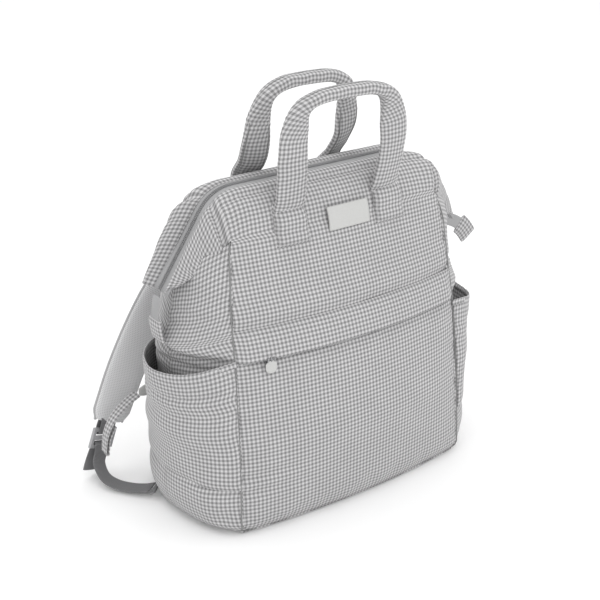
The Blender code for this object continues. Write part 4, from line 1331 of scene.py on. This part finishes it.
def lock_webbing(word, sign, body):
    centre, down, wide, out = lock_frame(sign)

    def at(a, b):
        return centre + down * a + out * b

    near = ((-0.0250, 0.0016), (-0.0180, 0.0030), (-0.0125, 0.0031), (-0.0065, 0.0027))
    hook = [at(a, b) for a, b in (*near, (-0.0048, 0.0), *((a, -b) for a, b in near[::-1]))]
    loop = band(f"lock_webbing_{word}", smooth_path(hook, 6), lambda i, t: wide, lambda t: 0.0118,
                lambda t: 0.0007, WEBBING, sides=12, power=0.5)
    attach(loop, body, "webbing", f"lock_loop_{word}")
    tail = [at(0.0420, 0.0050), at(0.0280, 0.0050), at(0.0140, 0.0036), at(0.0068, 0.0031)]
    main = [at(0.0068, -0.0031), at(0.0140, -0.0036)]
    route = tail + [at(0.0045, 0.0)] + main + mirrored(WEB_ROUTE, sign)
    flat = Vector((sign * 0.66, 0.70, -0.16))

    def web_side(i, t):
        share = min(max((t - 0.45) / 0.25, 0.0), 1.0)
        return wide.lerp(flat, share)

    web = band(f"adjuster_webbing_{word}", smooth_path(route, 8), web_side, lambda t: 0.0125,
               lambda t: 0.0008, WEBBING, sides=12, power=0.5)
    attach(web, body, "webbing", f"webbing_{word}")


def end_tab(word, sign, angle, root_x, arc):
    """Zip end: a strip of tape with a quilted gingham square sewn over it."""
    swing = math.radians(angle)
    away = Vector((sign * math.sin(swing), 0.0, -math.cos(swing)))
    flat = Vector((0.0, 1.0, 0.0))
    face = flat if sign < 0 else away.cross(flat)
    bow = away.cross(flat) if sign < 0 else -face
    if bow.z < 0 or (sign < 0 and bow.x > 0):
        bow = -bow
    root = Vector((sign * root_x, 0.0, 0.2585))

    def line(low, high, steps):
        path = []
        for k in range(steps + 1):
            s = low + (high - low) * k / steps
            path.append(root + away * s + bow * arc * math.sin(math.pi * s / 0.05))
        return path

    body = f"zip_tab_{word}"
    tape = band(f"zip_end_tape_{word}", line(0.0, 0.030, 12), lambda i, t: face, lambda t: 0.0075,
                lambda t: 0.0007, TAPE, sides=12, power=0.5)
    attach(tape, body, "tape")

    def quilt(place, t, u, v, side, normal):
        middle = min(1 - abs(u), 1 - abs(2 * t - 1))
        return normal * v * (0.0009 * min(middle / 0.35, 1.0) - 0.0004 * bell(middle, 0.22, 0.06))

    square = band(f"zip_end_square_{word}", line(0.0245, 0.0495, 14), lambda i, t: face,
                  lambda t: 0.0120, lambda t: 0.0014, GINGHAM, sides=24, power=0.45, swell=quilt)
    attach(square, body, "gingham", f"zip_end_tab_{word}")


def stroller_loop(word, sign):
    """Folded gingham ribbon hung from a pale leather tab at the rear seam."""
    root = Vector((sign * 0.1725, 0.0880, 0.1040))
    tab_path = [Vector((sign * 0.1530, 0.0872, 0.1060)).lerp(root, k / 8) for k in range(9)]
    tab = band(f"stroller_leather_{word}", tab_path, lambda i, t: (0, 0, 1),
               lambda t: 0.0070 - 0.0022 * step_up(t, 0.6, 1.0), lambda t: 0.0011, LEATHER,
               sides=16, power=0.6)
    attach(tab, "bag", "leather", f"stroller_tab_{word}")
    start = root + Vector((sign * 0.0018, 0.0, -0.0006))
    offsets = ((0.0, 0.0, 0.0), (0.014, -0.001, -0.006), (0.032, -0.003, -0.018),
               (0.043, -0.004, -0.034), (0.0475, -0.005, -0.054), (0.0455, -0.0045, -0.0575),
               (0.0432, -0.004, -0.052), (0.0405, -0.0035, -0.040), (0.0330, -0.003, -0.0275))
    route = [start + Vector((sign * x, y, z)) for x, y, z in offsets]
    ribbon = band(f"stroller_ribbon_{word}", smooth_path(route, 6), lambda i, t: (0.1, 0.95, 0.2),
                  lambda t: 0.0068, lambda t: 0.0009, GINGHAM, sides=12, power=0.5)
    attach(ribbon, f"stroller_{word}", "gingham", f"stroller_strap_{word}")


def body_outline(z, depth, face_steps=18):
    """Closed outline of the body at one height, a distance inside the skin."""
    ring = []
    wide = half_width(z) - depth
    deep = seam_y(z) - depth
    for side in (-1, 1):
        for c in range(face_steps):
            x = side * (2 * c / face_steps - 1) * -wide
            ring.append(Vector((x, side * (face_y(x, z) - depth), z)))
        for c in range(16):
            v = side * (1 - 2 * c / 16)
            ring.append(Vector((-side * (gusset_x(v, z) - depth), v * deep, z)))
    return ring


def lining_cover():
    """Loose inner bag: it wrinkles inward from the padded walls and has a bound top edge."""
    rings = []
    for k in range(31):
        z = 0.2485 + (0.0092 - 0.2485) * k / 30
        ring = []
        for p in body_outline(z, LINING_DEPTH):
            inward = Vector((-p.x, -p.y * 1.5, 0.0)).normalized()
            slack = 0.0022 * (1 + ripple(p, 0.045, 51)) * math.sin(math.pi * k / 30)
            ring.append(p + inward * slack)
        rings.append(ring)
    rings += [[Vector((p.x * share, p.y * share, 0.0094)) for p in rings[-1]]
              for share in (0.93, 0.6, 0.25, 0.05)]
    uvs = [[(a, 0.008 * k) for a in arc_lengths(ring)] for k, ring in enumerate(rings)]
    cover = grid_object("lining_cover", rings, uvs, LINING, closed=True, levels=0)
    close_rings(cover.data, len(rings[0]), (len(rings) - 1,), lay_cloth=True)
    outward(cover.data)
    thicken(cover, 0.0010)
    attach(cover, "bag", "lining", "lining")
    edge = body_outline(0.2490, LINING_DEPTH + 0.0004)
    tube("lining_binding", edge + [edge[0]], 0.0014, BINDING, "bag", "lining")


def inner_pocket():
    """Slip pocket inside the rear wall, gathered along its elastic top."""
    def place(t, u):
        edge = max(1 - abs(u) ** 6, 0.0) ** 0.5
        gather = 0.0010 * math.sin(u * 60) * bell(t, 1.0, 0.25)
        y = 0.0697 - (0.0070 * edge * (0.5 + 0.5 * math.sin(math.pi * min(t, 0.5))) + gather)
        return Vector((0.085 * u, y, 0.055 + 0.120 * t))

    rows = point_grid(18, 40, place)
    pocket = grid_object("inner_pocket_cover", rows, sheet_uvs(rows), LINING, thickness=0.0009)
    attach(pocket, "bag", "lining", "inner_slip_pocket")
    tube("inner_pocket_elastic", rows[-1], 0.0015, ELASTIC, "bag", "elastic")


def puller(name, body, pin, lie, out, node):
    """Pale leather pull with a rounded end, hung from a small ring round the slider's pin."""
    lie, out = Vector(lie).normalized(), Vector(out).normalized()
    wide = lie.cross(out).normalized()
    path = [pin + lie * (0.0010 + 0.0142 * k / 16) + out * 0.0004 for k in range(17)]

    def half(t):
        neck = 0.0030 + 0.0032 * step_up(t, 0.05, 0.28)
        return neck * math.sqrt(max(1 - max((t - 0.62) / 0.40, 0.0) ** 2, 0.02))

    tab = band(name, path, lambda i, t: wide, half, lambda t: 0.0010, LEATHER, sides=20,
               power=0.55)
    attach(tab, body, "leather", node)
    ring = [pin + (lie * math.cos(a) + out * math.sin(a)) * 0.0019
            for a in [2 * math.pi * k / 20 for k in range(21)]]
    tube(f"{name}_ring", ring, 0.0008, ZINC, body, "zinc")


def finish(name, material):
    """Give a CAD node's own mesh its material."""
    NODES[name].data.materials.clear()
    NODES[name].data.materials.append(material)


def plain_nodes():
    """CAD nodes whose shape is right keep it and take a finished material."""
    choice = {
        "front_pocket_lining": LINING,
        "base_board": BOARD, "front_frame_wire": STEEL, "rear_frame_wire": STEEL,
        "main_zip_slider": ZINC, "front_zip_slider": ZINC, "strap_anchor_patch": GINGHAM,
        "lower_strap_tab_left": WEBBING, "lower_strap_tab_right": WEBBING,
    }
    for name, material in choice.items():
        if not NODES[name].hide_render:
            finish(name, material)
            box_uvs(NODES[name].data)


def box_uvs(mesh):
    """Cloth coordinates from each face's own plane."""
    layer = mesh.uv_layers.get("cloth") or mesh.uv_layers.new(name="cloth")
    for polygon in mesh.polygons:
        n = polygon.normal
        if abs(n.z) > max(abs(n.x), abs(n.y)):
            axes = (0, 1)
        elif abs(n.x) > abs(n.y):
            axes = (1, 2)
        else:
            axes = (0, 2)
        for index in polygon.loop_indices:
            co = mesh.vertices[mesh.loops[index].vertex_index].co
            layer.data[index].uv = (co[axes[0]], co[axes[1]])


# ---------------------------------------------------------------- studio
def studio():
    mesh = bpy.data.meshes.new("floor")
    bm = bmesh.new()
    bmesh.ops.create_grid(bm, x_segments=1, y_segments=1, size=6.0)
    bm.to_mesh(mesh)
    bm.free()
    floor = in_scene("floor", mesh)
    floor.location = (0, 0, -0.0004)
    pale = Nodes("pale_floor")
    pale.shader.inputs["Base Color"].default_value = (0.97, 0.97, 0.97, 1.0)
    pale.shader.inputs["Roughness"].default_value = 0.9
    mesh.materials.append(pale.material)
    world = bpy.data.worlds.new("studio")
    world.use_nodes = True
    world.node_tree.nodes["Background"].inputs[0].default_value = (1.0, 1.0, 1.0, 1.0)
    world.node_tree.nodes["Background"].inputs[1].default_value = 1.0
    bpy.context.scene.world = world
    for name, place, size, power in LIGHTS:
        lamp = bpy.data.lights.new(name, "AREA")
        lamp.energy = power
        lamp.size = size
        obj = in_scene(name, lamp)
        obj.location = place
        aim = Vector((0, 0, 0.2)) - Vector(place)
        obj.rotation_euler = aim.to_track_quat("-Z", "Y").to_euler()


def camera():
    data = bpy.data.cameras.new("camera")
    data.lens = CAMERA_LENS
    data.sensor_width = 36.0
    obj = in_scene("camera", data)
    obj.location = CAMERA_PLACE
    obj.rotation_euler = [math.radians(angle) for angle in CAMERA_TURN]
    bpy.context.scene.camera = obj
    bpy.context.scene.view_settings.view_transform = "Standard"


def build():
    camera()
    studio()
    base_cover()
    pocket_panel()
    rear_cover()
    back_pad()
    corner_seams()
    for side, word in ((-1, "left"), (1, "right")):
        gusset_cover(side, word)
        side_pocket(side, word)
    face_upper(-1, "front", YOKE_FOOT)
    face_upper(1, "rear", 0.296)
    main_zip()
    front_zip()
    for side, face in ((-1, "front"), (1, "rear")):
        handle(face)
        for sign, hand in ((-1, "left"), (1, "right")):
            handle_anchor(side, face, sign, hand)
    label()
    for word, sign in (("left", 1), ("right", -1)):     # the route's own side is the left
        shoulder_strap(word, sign)
    end_tab("left", -1, 0, 0.191, 0.0035)
    end_tab("right", 1, 52, 0.1935, 0.0050)
    for word, sign in (("left", -1), ("right", 1)):
        stroller_loop(word, sign)
    puller("front_pull_tab", "front_pull", *POCKET_PULL, "front_zip_puller")
    puller("main_pull_tab", "main_pull", *MAIN_PULL, "main_zip_puller")
    lining_cover()
    inner_pocket()
    plain_nodes()


build()
